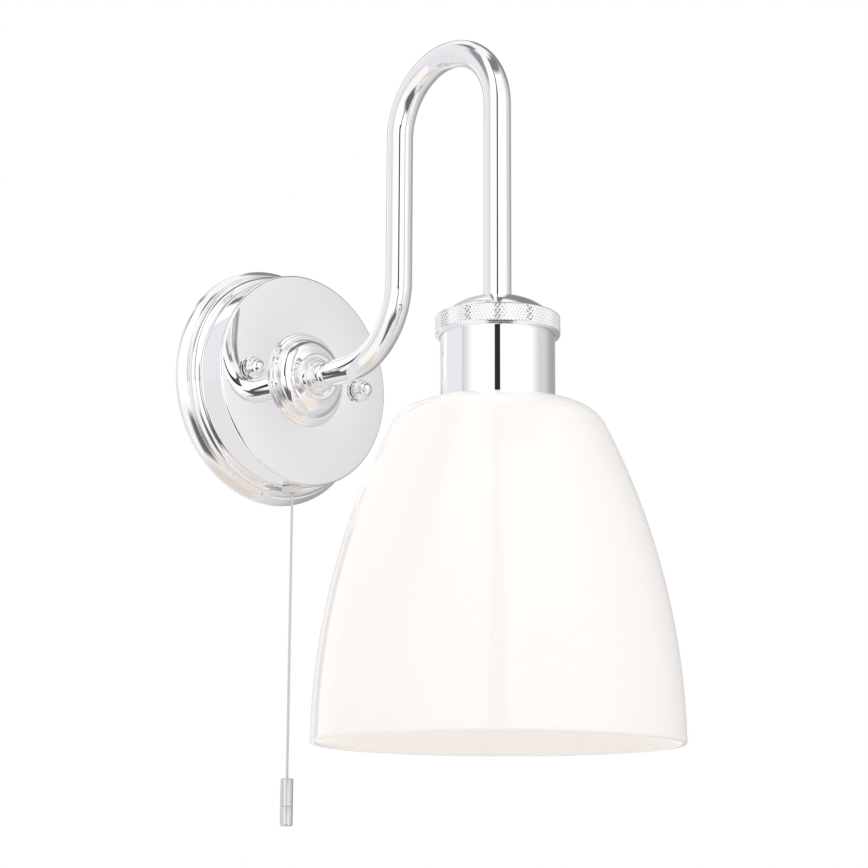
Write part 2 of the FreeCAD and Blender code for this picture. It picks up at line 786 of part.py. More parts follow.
weight_top = dim.cord_exit + dim.cord_length
seam = weight_top + dim.weight_upper_length
weight_bottom = seam + dim.weight_lower_length
hanging = place(cylinder("cord_run", dim.cord_radius, dim.cord_length), 0.0, -dim.cord_axis, -weight_top)
cord_head = document.addObject("Part::Sphere", "cord_head")
bind(cord_head, "Radius", dim.cord_radius)
place(cord_head, 0.0, -dim.cord_axis, -dim.cord_exit)
subpart(fuse("pull_cord", hanging, cord_head), "pull_cord")
print(f"free cord: one straight run of {dim.cord_length.value:.1f} mm, no turns")

spigot_radius = 1.9
spigot_length = 4.5
weight_upper = turned(
    "weight_upper",
    [
        (dim.cord_radius + 0.1, -(dim.weight_upper_length + spigot_length)),
        (spigot_radius, -(dim.weight_upper_length + spigot_length)),
        (spigot_radius, -dim.weight_upper_length),
        (dim.weight_radius, -dim.weight_upper_length),
        (dim.weight_radius, -0.5),
        (dim.weight_radius - 0.5, 0.0),
        (dim.cord_radius + 0.1, 0.0),
    ],
)
subpart(place(weight_upper, 0.0, -dim.cord_axis, -weight_top), "weight_upper")
end_knot = turned(
    "cord_end_knot",
    [
        (0.0, -(dim.weight_upper_length + spigot_length + 2.0)),
        (1.0, -(dim.weight_upper_length + spigot_length + 1.0)),
        (dim.cord_radius, -(dim.weight_upper_length + spigot_length)),
        (dim.cord_radius, 0.0),
        (0.0, 0.0),
    ],
)
subpart(place(end_knot, 0.0, -dim.cord_axis, -weight_top), "cord_end_knot")
weight_lower = turned(
    "weight_lower",
    [
        (0.0, -dim.weight_lower_length),
        (dim.weight_radius - 0.5, -dim.weight_lower_length),
        (dim.weight_radius, -(dim.weight_lower_length - 0.5)),
        (dim.weight_radius, -0.15),
        (spigot_radius + dim.running_gap, -0.15),
        (spigot_radius + dim.running_gap, -(spigot_length + 0.3)),
        (1.4, -(spigot_length + 0.3)),
        (1.4, -(spigot_length + 3.0)),
        (0.0, -(spigot_length + 3.0)),
    ],
)
subpart(place(weight_lower, 0.0, -dim.cord_axis, -seam), "weight_lower")

# ---------------------------------------------------------------- cap, ring and sleeve over the shade


def on_shade_axis(thing, turn=AS_DRAWN):
    """Puts a turned piece on the shade's upright axis."""
    return place(thing, 0.0, -dim.shade_axis, 0.0, turn)


cap = turned(
    "socket_cap",
    [
        (dim.tube_radius, 15.3),
        (dim.tube_radius, 13.9),
        (12.5, 11.9),
        (dim.sleeve_radius - 1.4, 4.2),
        (dim.sleeve_radius - 1.4, 3.2),
        (dim.sleeve_radius, 3.2),
        (dim.sleeve_radius, 5.0),
        (13.0, 13.0),
        (8.3, 14.6),
        (dim.tube_radius + 0.3, 15.3),
    ],
    {2: (22.0, -1), 6: (23.0, 1)},
)
subpart(on_shade_axis(cap), "socket_cap")

knurled_ring = turned(
    "knurled_ring",
    [
        (dim.sleeve_radius + dim.running_gap, -dim.ring_bottom),
        (dim.knurl_radius - 1.4, -dim.ring_bottom),
        (dim.knurl_radius, -dim.ring_bottom + 1.4),
        (dim.knurl_radius, dim.ring_top - 0.8),
        (dim.knurl_radius - 0.8, dim.ring_top),
        (dim.sleeve_radius + dim.running_gap, dim.ring_top),
    ],
    {1: (1.4, 1), 3: (0.8, 1)},
)
subpart(on_shade_axis(knurled_ring), "knurled_ring")

sleeve = ring("shade_sleeve", dim.sleeve_radius - 0.8, dim.sleeve_radius, -dim.shade_top, 3.2)
subpart(on_shade_axis(sleeve), "shade_sleeve")
gallery = ring("gallery_plate", 5.0, dim.sleeve_radius - 0.8, 1.0, 2.2)
subpart(on_shade_axis(gallery), "gallery_plate")

holder_nipple = ring("holder_nipple", 3.9, 5.0, -3.0, 22.0)
subpart(on_shade_axis(holder_nipple), "holder_nipple")
cap_nut_blank = hexagon("cap_nut_blank", 13.0, 2.6)
place(cap_nut_blank, 0.0, -dim.shade_axis, 9.2)
cap_nut_bore = place(cylinder("cap_nut_bore", 5.0, 5.0), 0.0, -dim.shade_axis, 8.0)
subpart(cut("cap_nut", cap_nut_blank, cap_nut_bore), "cap_nut")

# ---------------------------------------------------------------- lampholder

holder_cap = turned(
    "lampholder_cap",
    [
        (5.0, -3.0),
        (11.6, -3.0),
        (11.6, -8.0),
        (dim.holder_radius, -8.0),
        (dim.holder_radius, -2.0),
        (11.0, 1.0),
        (5.0, 1.0),
    ],
)
subpart(on_shade_axis(holder_cap), "lampholder_cap")
lampholder = turned(
    "lampholder_body",
    [
        (0.0, -8.0),
        (19.0, -8.0),
        (19.0, -10.6),
        (dim.holder_radius, -10.6),
        (dim.holder_radius, -38.0),
        (8.2, -38.0),
        (8.2, -12.0),
        (0.0, -12.0),
    ],
)
subpart(on_shade_axis(lampholder), "lampholder_body")
socket_shell = ring("socket_shell", 7.2, 8.2, -34.0, -13.0)
subpart(on_shade_axis(socket_shell), "socket_shell")
contact = ring("centre_contact", 0.0, 2.4, -13.2, -12.0)
subpart(on_shade_axis(contact), "centre_contact")

# ---------------------------------------------------------------- glass shade and its clamping ring

seat_top = -11.6
seat_bottom = seat_top - dim.glass_wall
washer = ring("shade_washer", 14.4, 19.0, seat_top, -10.6)
subpart(on_shade_axis(washer), "shade_washer")
shade_ring = ring("shade_ring", dim.holder_radius + dim.running_gap, 18.6, seat_bottom - 3.6, seat_bottom - 0.1)
subpart(on_shade_axis(shade_ring), "shade_ring")

neck_radius = 22.8
shade = turned(
    "glass_shade",
    [
        (14.4, seat_bottom),
        (14.4, seat_top),
        (neck_radius, seat_top),
        (neck_radius, -dim.shade_top),
        (31.0, -33.2),
        (45.8, -42.3),
        (dim.shade_rim_radius - 0.3, -(dim.shade_depth - 4.1)),
        (dim.shade_rim_radius, -dim.shade_depth),
        (dim.shade_rim_radius - dim.glass_wall, -dim.shade_depth),
        (dim.shade_rim_radius - dim.glass_wall - 0.3, -(dim.shade_depth - 4.1)),
        (43.2, -43.6),
        (30.6, -36.0),
        (neck_radius - dim.glass_wall, -dim.shade_top - 2.6),
        (neck_radius - dim.glass_wall, seat_bottom),
    ],
    {
        4: (dim.shade_corner_radius, -1),
        5: (dim.shade_side_radius, -1),
        7: (1.5, -1),
        9: (dim.shade_side_radius - dim.glass_wall, 1),
        10: (dim.shade_corner_radius - dim.glass_wall, 1),
    },
)
subpart(on_shade_axis(shade), "glass_shade")

# ---------------------------------------------------------------- lamp

lamp_cap = turned(
    "lamp_cap",
    [
        (0.0, -13.4),
        (2.4, -13.4),
        (6.0, -15.4),
        (7.0, -16.4),
        (7.0, -36.0),
        (0.0, -36.0),
    ],
)
subpart(on_shade_axis(lamp_cap), "lamp_cap")
globe_middle = -75.0
shoulder_drop = math.sqrt(dim.lamp_radius.value**2 - 16.0**2)
lamp_housing = turned(
    "lamp_housing",
    [
        (0.0, -36.0),
        (7.0, -36.0),
        (9.5, -41.0),
        (16.0, globe_middle + shoulder_drop),
        (0.0, globe_middle + shoulder_drop),
    ],
    {2: (40.0, 1)},
)
subpart(on_shade_axis(lamp_housing), "lamp_housing")
lamp_globe = turned(
    "lamp_globe",
    [
        (0.0, globe_middle + shoulder_drop),
        (16.0, globe_middle + shoulder_drop),
        (dim.lamp_radius, globe_middle),
        (0.0, globe_middle - dim.lamp_radius),
    ],
    {1: (dim.lamp_radius, -1), 2: (dim.lamp_radius, -1)},
)
subpart(on_shade_axis(lamp_globe), "lamp_globe")

# ---------------------------------------------------------------- check and write

document.recompute()
faults = [thing.Name for thing in document.Objects if {"Invalid", "Error"} & set(thing.State)]
faults += [thing.Label for thing in pieces if thing.Shape.isNull() or not thing.Shape.isValid()]
faults += [thing.Label for thing in pieces if thing.Shape.Volume <= 0 or not thing.Shape.Solids]
if faults:
    raise RuntimeError(f"these objects failed: {faults}")

os.makedirs("parts", exist_ok=True)
for thing in pieces:
    thing.Shape.exportStep(f"parts/{thing.Label}.step")
    bounds = thing.Shape.BoundBox
    print(f"{thing.Label:24s} {len(thing.Shape.Solids)} solid(s) {thing.Shape.Volume / 1000:9.3f} cm3", bounds)
print(len(pieces), "sub-parts written")
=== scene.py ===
# %% [markdown]
# # A chrome wall light with a pull cord, around its CAD frame
# Every piece of the light already has its place and size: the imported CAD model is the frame, and this
# lesson gives it its looks. Everything is in metres. The origin is on the wall, at the middle of the back
# plate, +Z is up and the light stands out from the wall towards -Y.

# %% Load the frame
import json
import math

import bpy
import numpy as np
from mathutils import Euler, Matrix, Vector


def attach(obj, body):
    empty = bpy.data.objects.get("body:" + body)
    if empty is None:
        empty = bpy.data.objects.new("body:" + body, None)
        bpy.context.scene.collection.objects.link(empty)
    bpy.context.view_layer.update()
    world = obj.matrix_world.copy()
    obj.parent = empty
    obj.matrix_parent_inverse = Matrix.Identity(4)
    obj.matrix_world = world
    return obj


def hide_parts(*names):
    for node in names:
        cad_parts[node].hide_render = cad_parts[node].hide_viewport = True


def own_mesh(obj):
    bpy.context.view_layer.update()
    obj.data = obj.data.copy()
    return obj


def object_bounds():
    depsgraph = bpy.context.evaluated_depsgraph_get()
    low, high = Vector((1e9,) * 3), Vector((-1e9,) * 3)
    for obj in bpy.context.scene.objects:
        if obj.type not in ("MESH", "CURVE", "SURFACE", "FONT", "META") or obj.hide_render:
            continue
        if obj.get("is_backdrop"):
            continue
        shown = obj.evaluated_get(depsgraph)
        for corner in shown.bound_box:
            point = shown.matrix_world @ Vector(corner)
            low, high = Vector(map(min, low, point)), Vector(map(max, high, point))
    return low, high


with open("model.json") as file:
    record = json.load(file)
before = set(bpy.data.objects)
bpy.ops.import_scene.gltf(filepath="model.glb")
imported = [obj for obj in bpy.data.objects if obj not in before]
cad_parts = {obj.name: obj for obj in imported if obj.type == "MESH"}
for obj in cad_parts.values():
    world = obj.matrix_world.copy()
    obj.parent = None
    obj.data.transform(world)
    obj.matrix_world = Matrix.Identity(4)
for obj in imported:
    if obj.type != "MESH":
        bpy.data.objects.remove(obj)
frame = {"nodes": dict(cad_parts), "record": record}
cad_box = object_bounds()

# %% [markdown]
# ## Camera
# A wall light is usually seen from a little below and to one side. A long lens from about a metre away
# keeps the arm and the shade nearly free of perspective, as on a page of a catalogue. The camera is also
# rolled by a quarter of a degree, because nobody levels a tripod perfectly.

# %% Camera
camera_data = bpy.data.cameras.new("catalogue_camera")
camera_data.lens = 91.4
camera_data.sensor_width = 36.0
camera = bpy.data.objects.new("catalogue_camera", camera_data)
bpy.context.scene.collection.objects.link(camera)
aim = Euler((math.radians(101.884), 0.0, math.radians(-43.156))).to_matrix()
roll = Matrix.Rotation(0.005, 3, "Z")
camera.location = (-0.6443, -0.8019, -0.2373)
camera.rotation_euler = (aim @ roll).to_euler()
bpy.context.scene.camera = camera
bpy.context.scene.view_settings.view_transform = "Standard"
print("camera", round(camera.location.length, 3), "m from the wall plate")

# %% [markdown]
# ## Pale floor
# The light hangs on a wall, so the floor lies below it and only sends soft, warm light upwards. The
# chrome doesn't mirror it, because the studio around the light gives every reflection its place.

# %% Floor
FLOOR = -0.3
SPAN = 3.0
floor_corners = [(-SPAN, -SPAN, FLOOR), (SPAN, -SPAN, FLOOR), (SPAN, SPAN, FLOOR), (-SPAN, SPAN, FLOOR)]
floor_mesh = bpy.data.meshes.new("studio_floor")
floor_mesh.from_pydata(floor_corners, [], [(0, 1, 2, 3)])
floor = bpy.data.objects.new("studio_floor", floor_mesh)
bpy.context.scene.collection.objects.link(floor)
floor.visible_glossy = False
floor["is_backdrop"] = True

# %% [markdown]
# ## Small helpers for node trees
# A node tree is a list of nodes and links. Two short helpers keep the recipes below readable: one adds a
# node and sets its properties and its unlinked inputs, the other joins an output to an input.


# %% Node helpers
def add(tree, kind, inputs=None, **settings):
    """A new node in the tree, with settings for its properties and values for its inputs."""
    node = tree.nodes.new(kind)
    for key, value in settings.items():
        setattr(node, key, value)
    for key, value in (inputs or {}).items():
        node.inputs[key].default_value = value
    return node


def feed(tree, source, target):
    """Joins an output socket to an input socket."""
    tree.links.new(source, target)


def new_group(name, takes, gives):
    """An empty shader node group. takes and gives are (name, socket type) pairs for its two sides."""
    group = bpy.data.node_groups.new(name, "ShaderNodeTree")
    for side, sockets in (("INPUT", takes), ("OUTPUT", gives)):
        for socket, kind in sockets:
            group.interface.new_socket(name=socket, in_out=side, socket_type=kind)
    return group, add(group, "NodeGroupInput"), add(group, "NodeGroupOutput")


NUMBER, COLOUR = "NodeSocketFloat", "NodeSocketColor"

# %% [markdown]
# ## One soft panel of the studio
# Polished chrome shows nothing but the room around it, so the room is the most important finish. In a
# studio, white cloths, grey boards and thin black strips hang around the piece. Each is a rectangle in
# compass bearing and elevation with soft edges, and one node group makes its mask.

# %% The panel group
edges = ("From", "From Soft", "To", "To Soft", "Low", "Low Soft", "High", "High Soft")
panel_group, panel_in, panel_out = new_group(
    "soft_panel",
    [("Bearing", NUMBER), ("Elevation", NUMBER)] + [(edge, NUMBER) for edge in edges],
    [("Mask", NUMBER)],
)


def soft_edge(angle, edge, rising):
    """A smooth step over edge - soft to edge + soft, from 0 to 1, or from 1 to 0 where rising is False."""
    first = add(panel_group, "ShaderNodeMath", operation="SUBTRACT")
    last = add(panel_group, "ShaderNodeMath", operation="ADD")
    step = add(panel_group, "ShaderNodeMapRange", interpolation_type="SMOOTHSTEP")
    for end, limit in ((first, "From Min"), (last, "From Max")):
        feed(panel_group, panel_in.outputs[edge], end.inputs[0])
        feed(panel_group, panel_in.outputs[edge + " Soft"], end.inputs[1])
        feed(panel_group, end.outputs[0], step.inputs[limit])
    feed(panel_group, panel_in.outputs[angle], step.inputs["Value"])
    step.inputs["To Min"].default_value = 0.0 if rising else 1.0
    step.inputs["To Max"].default_value = 1.0 if rising else 0.0
    return step.outputs["Result"]


mask = soft_edge("Bearing", "From", True)
other_edges = (("Bearing", "To", False), ("Elevation", "Low", True), ("Elevation", "High", False))
for angle, edge, rising in other_edges:
    both = add(panel_group, "ShaderNodeMath", operation="MULTIPLY")
    feed(panel_group, mask, both.inputs[0])
    feed(panel_group, soft_edge(angle, edge, rising), both.inputs[1])
    mask = both.outputs[0]
feed(panel_group, mask, panel_out.inputs["Mask"])
print("panel group has", len(panel_group.nodes), "nodes")

# %% [markdown]
# ## The room
# Bearings are in degrees from the camera's side of the light, positive to the camera's left. Panels are
# laid over each other in order, like sheets of paper, on a white room. The black strip straight behind
# the camera draws the dark line down every chrome tube.

# %% World
world = bpy.data.worlds.new("studio_tent")
world.use_nodes = True
bpy.context.scene.world = world
tent = world.node_tree
tent.nodes.clear()
CAMERA_WAY = Vector((-0.684, -0.7295, 0.0))
LEFT_WAY = Vector((-0.7295, 0.684, 0.0))
sight = add(tent, "ShaderNodeTexCoord")
DEGREES = 180.0 / math.pi


def along(way):
    """How far the line of sight points along a way: their dot product."""
    dot = add(tent, "ShaderNodeVectorMath", {1: way}, operation="DOT_PRODUCT")
    feed(tent, sight.outputs["Generated"], dot.inputs[0])
    return dot.outputs["Value"]


def in_degrees(operation, *sources):
    """An angle from an inverse trigonometric function, turned into degrees."""
    angle = add(tent, "ShaderNodeMath", operation=operation)
    for i, source in enumerate(sources):
        feed(tent, source, angle.inputs[i])
    scaled = add(tent, "ShaderNodeMath", {1: DEGREES}, operation="MULTIPLY")
    feed(tent, angle.outputs[0], scaled.inputs[0])
    return scaled.outputs[0]


bearing = in_degrees("ARCTAN2", along(LEFT_WAY), along(CAMERA_WAY))
elevation = in_degrees("ARCSINE", along(Vector((0.0, 0.0, 1.0))))
WHITE = (1.12, 1.12, 1.12)
BLACK = (0.030, 0.028, 0.027)
ROOM = (1.0, 0.99, 0.98)
PANELS = [
    # bearing from, soft, to, soft, elevation from, soft, to, soft, colour
    ("right_wall", -200, 5, -82, 12, -62, 6, 62, 8, (0.70, 0.69, 0.71)),
    ("right_wall_far", -200, 5, -118, 20, -40, 14, 46, 12, (0.40, 0.40, 0.41)),
    ("right_high", -200, 5, -118, 16, 30, 10, 64, 6, (0.26, 0.26, 0.28)),
    ("white_front", -70, 4, 78, 4, -12, 4, 64, 6, WHITE),
    ("left_fade", 62, 17, 78, 0.6, -12, 6, 62, 8, (0.68, 0.67, 0.69)),
    ("left_board", 78, 0.6, 124.5, 1, -66, 26, 62, 8, (0.86, 0.85, 0.885)),
    ("left_low", 78, 0.6, 200, 5, -66, 26, 4, 6, (0.82, 0.81, 0.83)),
    ("left_white", 125, 1, 142, 1, 0, 4, 50, 8, (1.06, 1.06, 1.06)),
    ("left_gap", 144, 2, 153, 3, -4, 6, 50, 8, (0.20, 0.20, 0.22)),
    ("left_far", 156, 4, 200, 4, -4, 6, 50, 8, (0.62, 0.62, 0.64)),
    ("warm_corner", -82, 4, -58, 4, -16, 4, 0, 4, (0.93, 0.82, 0.73)),
    ("front_grey", -125, 12, 12, 8, 56, 5, 78, 5, (0.22, 0.22, 0.23)),
    ("left_grey", 56, 5, 84, 5, 28, 5, 60, 5, (0.32, 0.31, 0.34)),
    ("top_left_grey", 78, 4, 112, 6, 54, 4, 72, 4, (0.24, 0.24, 0.27)),
    ("under_camera", -34, 8, 24, 8, -56, 6, -20, 6, (0.15, 0.145, 0.15)),
    ("tripod", -7.5, 0.8, -1, 1.5, -24, 2, 7, 1.5, (0.11, 0.10, 0.12)),
    ("black_strip", -3.6, 0.6, 7.5, 0.6, 5, 1.5, 34, 6, BLACK),
    ("strip_above", -2.5, 1.0, 6.0, 1.0, 30, 6, 62, 6, (0.09, 0.09, 0.10)),
    ("warm_below", -200, 5, 200, 5, -95, 2, -62, 8, (0.78, 0.70, 0.62)),
]
light = add(tent, "ShaderNodeRGB")
light.outputs[0].default_value = (*ROOM, 1.0)
seen = light.outputs[0]
for name, *sides, colour in PANELS:
    panel = add(tent, "ShaderNodeGroup", node_tree=panel_group, name=name)
    feed(tent, bearing, panel.inputs["Bearing"])
    feed(tent, elevation, panel.inputs["Elevation"])
    for edge, value in zip(edges, sides):
        panel.inputs[edge].default_value = value
    sheet = add(tent, "ShaderNodeMix", {7: (*colour, 1.0)}, data_type="RGBA")
    feed(tent, panel.outputs["Mask"], sheet.inputs["Factor"])
    feed(tent, seen, sheet.inputs[6])
    seen = sheet.outputs[2]

# %% [markdown]
# The camera itself sees plain white behind the light, as on a catalogue page, and matt pieces get a
# little more light than mirrors do, as from lamps above the tent. The Light Path node tells these apart.

# %% Light paths
ray = add(tent, "ShaderNodeLightPath")
boost = add(tent, "ShaderNodeMath", {1: 0.04, 2: 1.0}, operation="MULTIPLY_ADD")
feed(tent, ray.outputs["Is Diffuse Ray"], boost.inputs[0])
glow = add(tent, "ShaderNodeBackground")
feed(tent, seen, glow.inputs["Color"])
feed(tent, boost.outputs[0], glow.inputs["Strength"])
backdrop = add(tent, "ShaderNodeBackground", {"Color": (1.0, 1.0, 1.0, 1.0)})
choice = add(tent, "ShaderNodeMixShader")
feed(tent, ray.outputs["Is Camera Ray"], choice.inputs[0])
feed(tent, glow.outputs[0], choice.inputs[1])
feed(tent, backdrop.outputs[0], choice.inputs[2])
tent_out = add(tent, "ShaderNodeOutputWorld")
feed(tent, choice.outputs[0], tent_out.inputs["Surface"])
print(len(PANELS), "panels in the room")

# %% [markdown]
# ## Handling marks
# New chrome is nearly perfect, but not quite: fingers leave cloudy patches that are a little less sharp,
# and a polishing cloth leaves hairlines. One group gives both, as a roughness that drifts slowly and as
# a height with long thin scratches, for a Bump node.

# %% Handling marks group
marks, marks_in, marks_out = new_group(
    "handling_marks",
    [("Cloud Scale", NUMBER), ("Clean", NUMBER), ("Cloudy", NUMBER), ("Hairlines", NUMBER)],
    [("Roughness", NUMBER), ("Height", NUMBER)],
)
place = add(marks, "ShaderNodeTexCoord")
cloud = add(marks, "ShaderNodeTexNoise", {"Detail": 4.0, "Roughness": 0.6})
feed(marks, place.outputs["Object"], cloud.inputs["Vector"])
feed(marks, marks_in.outputs["Cloud Scale"], cloud.inputs["Scale"])
drift = add(marks, "ShaderNodeMapRange", {"From Min": 0.42, "From Max": 0.75})
feed(marks, cloud.outputs["Fac"], drift.inputs["Value"])
feed(marks, marks_in.outputs["Clean"], drift.inputs["To Min"])
feed(marks, marks_in.outputs["Cloudy"], drift.inputs["To Max"])
feed(marks, drift.outputs["Result"], marks_out.inputs["Roughness"])
comb = add(marks, "ShaderNodeMapping", {"Rotation": (0.5, 0.3, 0.9), "Scale": (1.0, 1.0, 0.02)})
feed(marks, place.outputs["Object"], comb.inputs["Vector"])
hair = add(marks, "ShaderNodeTexNoise", {"Scale": 2600.0, "Detail": 1.0})
feed(marks, comb.outputs["Vector"], hair.inputs["Vector"])
line = add(marks, "ShaderNodeMapRange", {"From Min": 0.68, "From Max": 0.78})
feed(marks, hair.outputs["Fac"], line.inputs["Value"])
deep = add(marks, "ShaderNodeMath", operation="MULTIPLY")
feed(marks, line.outputs["Result"], deep.inputs[0])
feed(marks, marks_in.outputs["Hairlines"], deep.inputs[1])
feed(marks, deep.outputs[0], marks_out.inputs["Height"])

# %% [markdown]
# ## Moulded grain
# Nylon, rubber and foam come out of a mould or a press with a fine grain, and their colour is never
# quite even. The group mixes two near colours with slow noise, and gives the grain as roughness and height.

# %% Moulded grain group
grain, grain_in, grain_out = new_group(
    "moulded_grain",
    [
        ("Colour", COLOUR),
        ("Second Colour", COLOUR),
        ("Grain Scale", NUMBER),
        ("Smooth", NUMBER),
        ("Dull", NUMBER),
    ],
    [("Colour", COLOUR), ("Roughness", NUMBER), ("Height", NUMBER)],
)
place = add(grain, "ShaderNodeTexCoord")
slow = add(grain, "ShaderNodeTexNoise", {"Scale": 60.0, "Detail": 3.0})
feed(grain, place.outputs["Object"], slow.inputs["Vector"])
blend = add(grain, "ShaderNodeMix", data_type="RGBA")
feed(grain, slow.outputs["Fac"], blend.inputs["Factor"])
feed(grain, grain_in.outputs["Colour"], blend.inputs[6])
feed(grain, grain_in.outputs["Second Colour"], blend.inputs[7])
feed(grain, blend.outputs[2], grain_out.inputs["Colour"])
fine = add(grain, "ShaderNodeTexNoise", {"Detail": 2.0})
feed(grain, place.outputs["Object"], fine.inputs["Vector"])
feed(grain, grain_in.outputs["Grain Scale"], fine.inputs["Scale"])
dull = add(grain, "ShaderNodeMapRange", {"From Min": 0.3, "From Max": 0.7})
feed(grain, fine.outputs["Fac"], dull.inputs["Value"])
feed(grain, grain_in.outputs["Smooth"], dull.inputs["To Min"])
feed(grain, grain_in.outputs["Dull"], dull.inputs["To Max"])
feed(grain, dull.outputs["Result"], grain_out.inputs["Roughness"])
feed(grain, fine.outputs["Fac"], grain_out.inputs["Height"])

# %% [markdown]
# ## Plated crystals
# Zinc plate and unpolished brass show small blotches where the metal grew in patches. Cells of a Voronoi
# texture give each patch its own tone, and fine noise between them stands for dust and oil.

# %% Plated crystals group
plate, plate_in, plate_out = new_group(
    "plated_crystals",
    [("Bright", COLOUR), ("Dim", COLOUR), ("Patch Scale", NUMBER), ("Smooth", NUMBER), ("Dull", NUMBER)],
    [("Colour", COLOUR), ("Roughness", NUMBER), ("Height", NUMBER)],
)
place = add(plate, "ShaderNodeTexCoord")
cells = add(plate, "ShaderNodeTexVoronoi")
feed(plate, place.outputs["Object"], cells.inputs["Vector"])
feed(plate, plate_in.outputs["Patch Scale"], cells.inputs["Scale"])
tone = add(plate, "ShaderNodeSeparateColor")
feed(plate, cells.outputs["Color"], tone.inputs[0])
blend = add(plate, "ShaderNodeMix", data_type="RGBA")
feed(plate, tone.outputs[0], blend.inputs["Factor"])
feed(plate, plate_in.outputs["Bright"], blend.inputs[6])
feed(plate, plate_in.outputs["Dim"], blend.inputs[7])
feed(plate, blend.outputs[2], plate_out.inputs["Colour"])
dull = add(plate, "ShaderNodeMapRange")
feed(plate, tone.outputs[1], dull.inputs["Value"])
feed(plate, plate_in.outputs["Smooth"], dull.inputs["To Min"])
feed(plate, plate_in.outputs["Dull"], dull.inputs["To Max"])
feed(plate, dull.outputs["Result"], plate_out.inputs["Roughness"])
feed(plate, tone.outputs[2], plate_out.inputs["Height"])
print("groups:", ", ".join(group.name for group in bpy.data.node_groups))

# %% [markdown]
# ## From groups to finishes
# A finish is one Principled shader with its fixed numbers set on its own sockets, and one group that feeds
# what varies: colour, roughness and a Bump node. The Bump distance is the real height of the relief.


# %% Finish helper
def finish(name, group, values, relief, metal=0.0, colour=None, **sockets):
    """A material from one effect group. relief is the bump's height in metres."""
    material = bpy.data.materials.new(name)
    material.use_nodes = True
    tree = material.node_tree
    shader = tree.nodes["Principled BSDF"]
    shader.inputs["Metallic"].default_value = metal
    for key, value in sockets.items():
        shader.inputs[key.replace("_", " ")].default_value = value
    effect = add(tree, "ShaderNodeGroup", values, node_tree=group)
    feed(tree, effect.outputs["Roughness"], shader.inputs["Roughness"])
    if colour:
        shader.inputs["Base Color"].default_value = (*colour, 1.0)
    else:
        feed(tree, effect.outputs["Colour"], shader.inputs["Base Color"])
    bump = add(tree, "ShaderNodeBump", {"Distance": relief})
    feed(tree, effect.outputs["Height"], bump.inputs["Height"])
    feed(tree, bump.outputs["Normal"], shader.inputs["Normal"])
    return material


def polished(name, colour, metal, clean, cloudy, hairlines=0.3, cloud_scale=45.0, **sockets):
    """A polished surface with handling marks."""
    values = {"Cloud Scale": cloud_scale, "Clean": clean, "Cloudy": cloudy, "Hairlines": hairlines}
    return finish(name, marks, values, 0.0000002, metal, colour, **sockets)


def moulded(name, colour, second, smooth, dull, grain_scale=1800.0, relief=0.00003, **sockets):
    """A moulded plastic, rubber or foam."""
    values = {"Grain Scale": grain_scale, "Smooth": smooth, "Dull": dull}
    values.update({"Colour": (*colour, 1.0), "Second Colour": (*second, 1.0)})
    return finish(name, grain, values, relief, **sockets)


def plated(name, bright, dim, smooth, dull, patch_scale=900.0):
    """A plated or plain sheet metal."""
    values = {"Patch Scale": patch_scale, "Smooth": smooth, "Dull": dull}
    values.update({"Bright": (*bright, 1.0), "Dim": (*dim, 1.0)})
    return finish(name, plate, values, 0.00001, 1.0)


# %% [markdown]
# ## The finishes
# The record names a material slot for every piece, and each slot gets one finish here. Chrome is a very clean
# metal mirror. Opal glass is milky and glossy, and a faint warm emission is a painted glow: it brightens the
# shade, standing for the light that wanders inside its white body and comes out again, though the glass is no
# lamp.

# %% All finishes
finishes = {
    "chrome": polished("chrome", (0.94, 0.94, 0.945), 1.0, 0.012, 0.05),
    "satin_chrome": polished("satin_chrome", (0.74, 0.74, 0.75), 1.0, 0.20, 0.28),
    "zinc_steel": plated("zinc_steel", (0.72, 0.73, 0.75), (0.58, 0.60, 0.63), 0.28, 0.42),
    "brass": plated("brass", (0.83, 0.64, 0.30), (0.74, 0.54, 0.24), 0.22, 0.36, 1400.0),
    "steel": plated("steel", (0.66, 0.66, 0.67), (0.55, 0.55, 0.57), 0.25, 0.38, 1500.0),
    "lamp_nickel": plated("lamp_nickel", (0.80, 0.77, 0.71), (0.72, 0.69, 0.63), 0.18, 0.30, 1500.0),
    "rubber": moulded("rubber", (0.022, 0.022, 0.023), (0.040, 0.039, 0.038), 0.55, 0.75),
    "seal_foam": moulded("seal_foam", (0.050, 0.050, 0.052), (0.085, 0.085, 0.09), 0.85, 1.0, 1500.0, 0.0003),
    "silicone": moulded("silicone", (0.62, 0.62, 0.60), (0.70, 0.70, 0.68), 0.35, 0.5),
    "white_plastic": moulded("white_plastic", (0.86, 0.85, 0.81), (0.80, 0.79, 0.75), 0.28, 0.42),
    "white_nylon": moulded("white_nylon", (0.92, 0.91, 0.87), (0.88, 0.87, 0.83), 0.32, 0.46),
    "grey_nylon": moulded("grey_nylon", (0.27, 0.28, 0.29), (0.22, 0.23, 0.24), 0.35, 0.5),
    "cable_white": moulded("cable_white", (0.82, 0.81, 0.78), (0.76, 0.75, 0.72), 0.40, 0.52),
    "wire_brown": moulded("wire_brown", (0.16, 0.065, 0.030), (0.12, 0.048, 0.022), 0.40, 0.52),
    "wire_grey": moulded("wire_grey", (0.30, 0.30, 0.31), (0.25, 0.25, 0.26), 0.40, 0.52),
    "opal_glass": polished(
        "opal_glass", (0.95, 0.935, 0.915), 0.0, 0.03, 0.08, 0.2, 30.0,
        # painted glow: this emission brightens the opal shade, which is no lamp
        Emission_Color=(1.0, 0.94, 0.87, 1.0), Emission_Strength=0.19, IOR=1.5,
        Subsurface_Weight=0.6, Subsurface_Radius=(1.0, 0.9, 0.8), Subsurface_Scale=0.006,
    ),
    "lamp_opal": polished(
        "lamp_opal", (0.95, 0.945, 0.93), 0.0, 0.10, 0.18, 0.2, 60.0,
        Emission_Color=(1.0, 0.96, 0.91, 1.0), Emission_Strength=0.08, IOR=1.5,
    ),
}
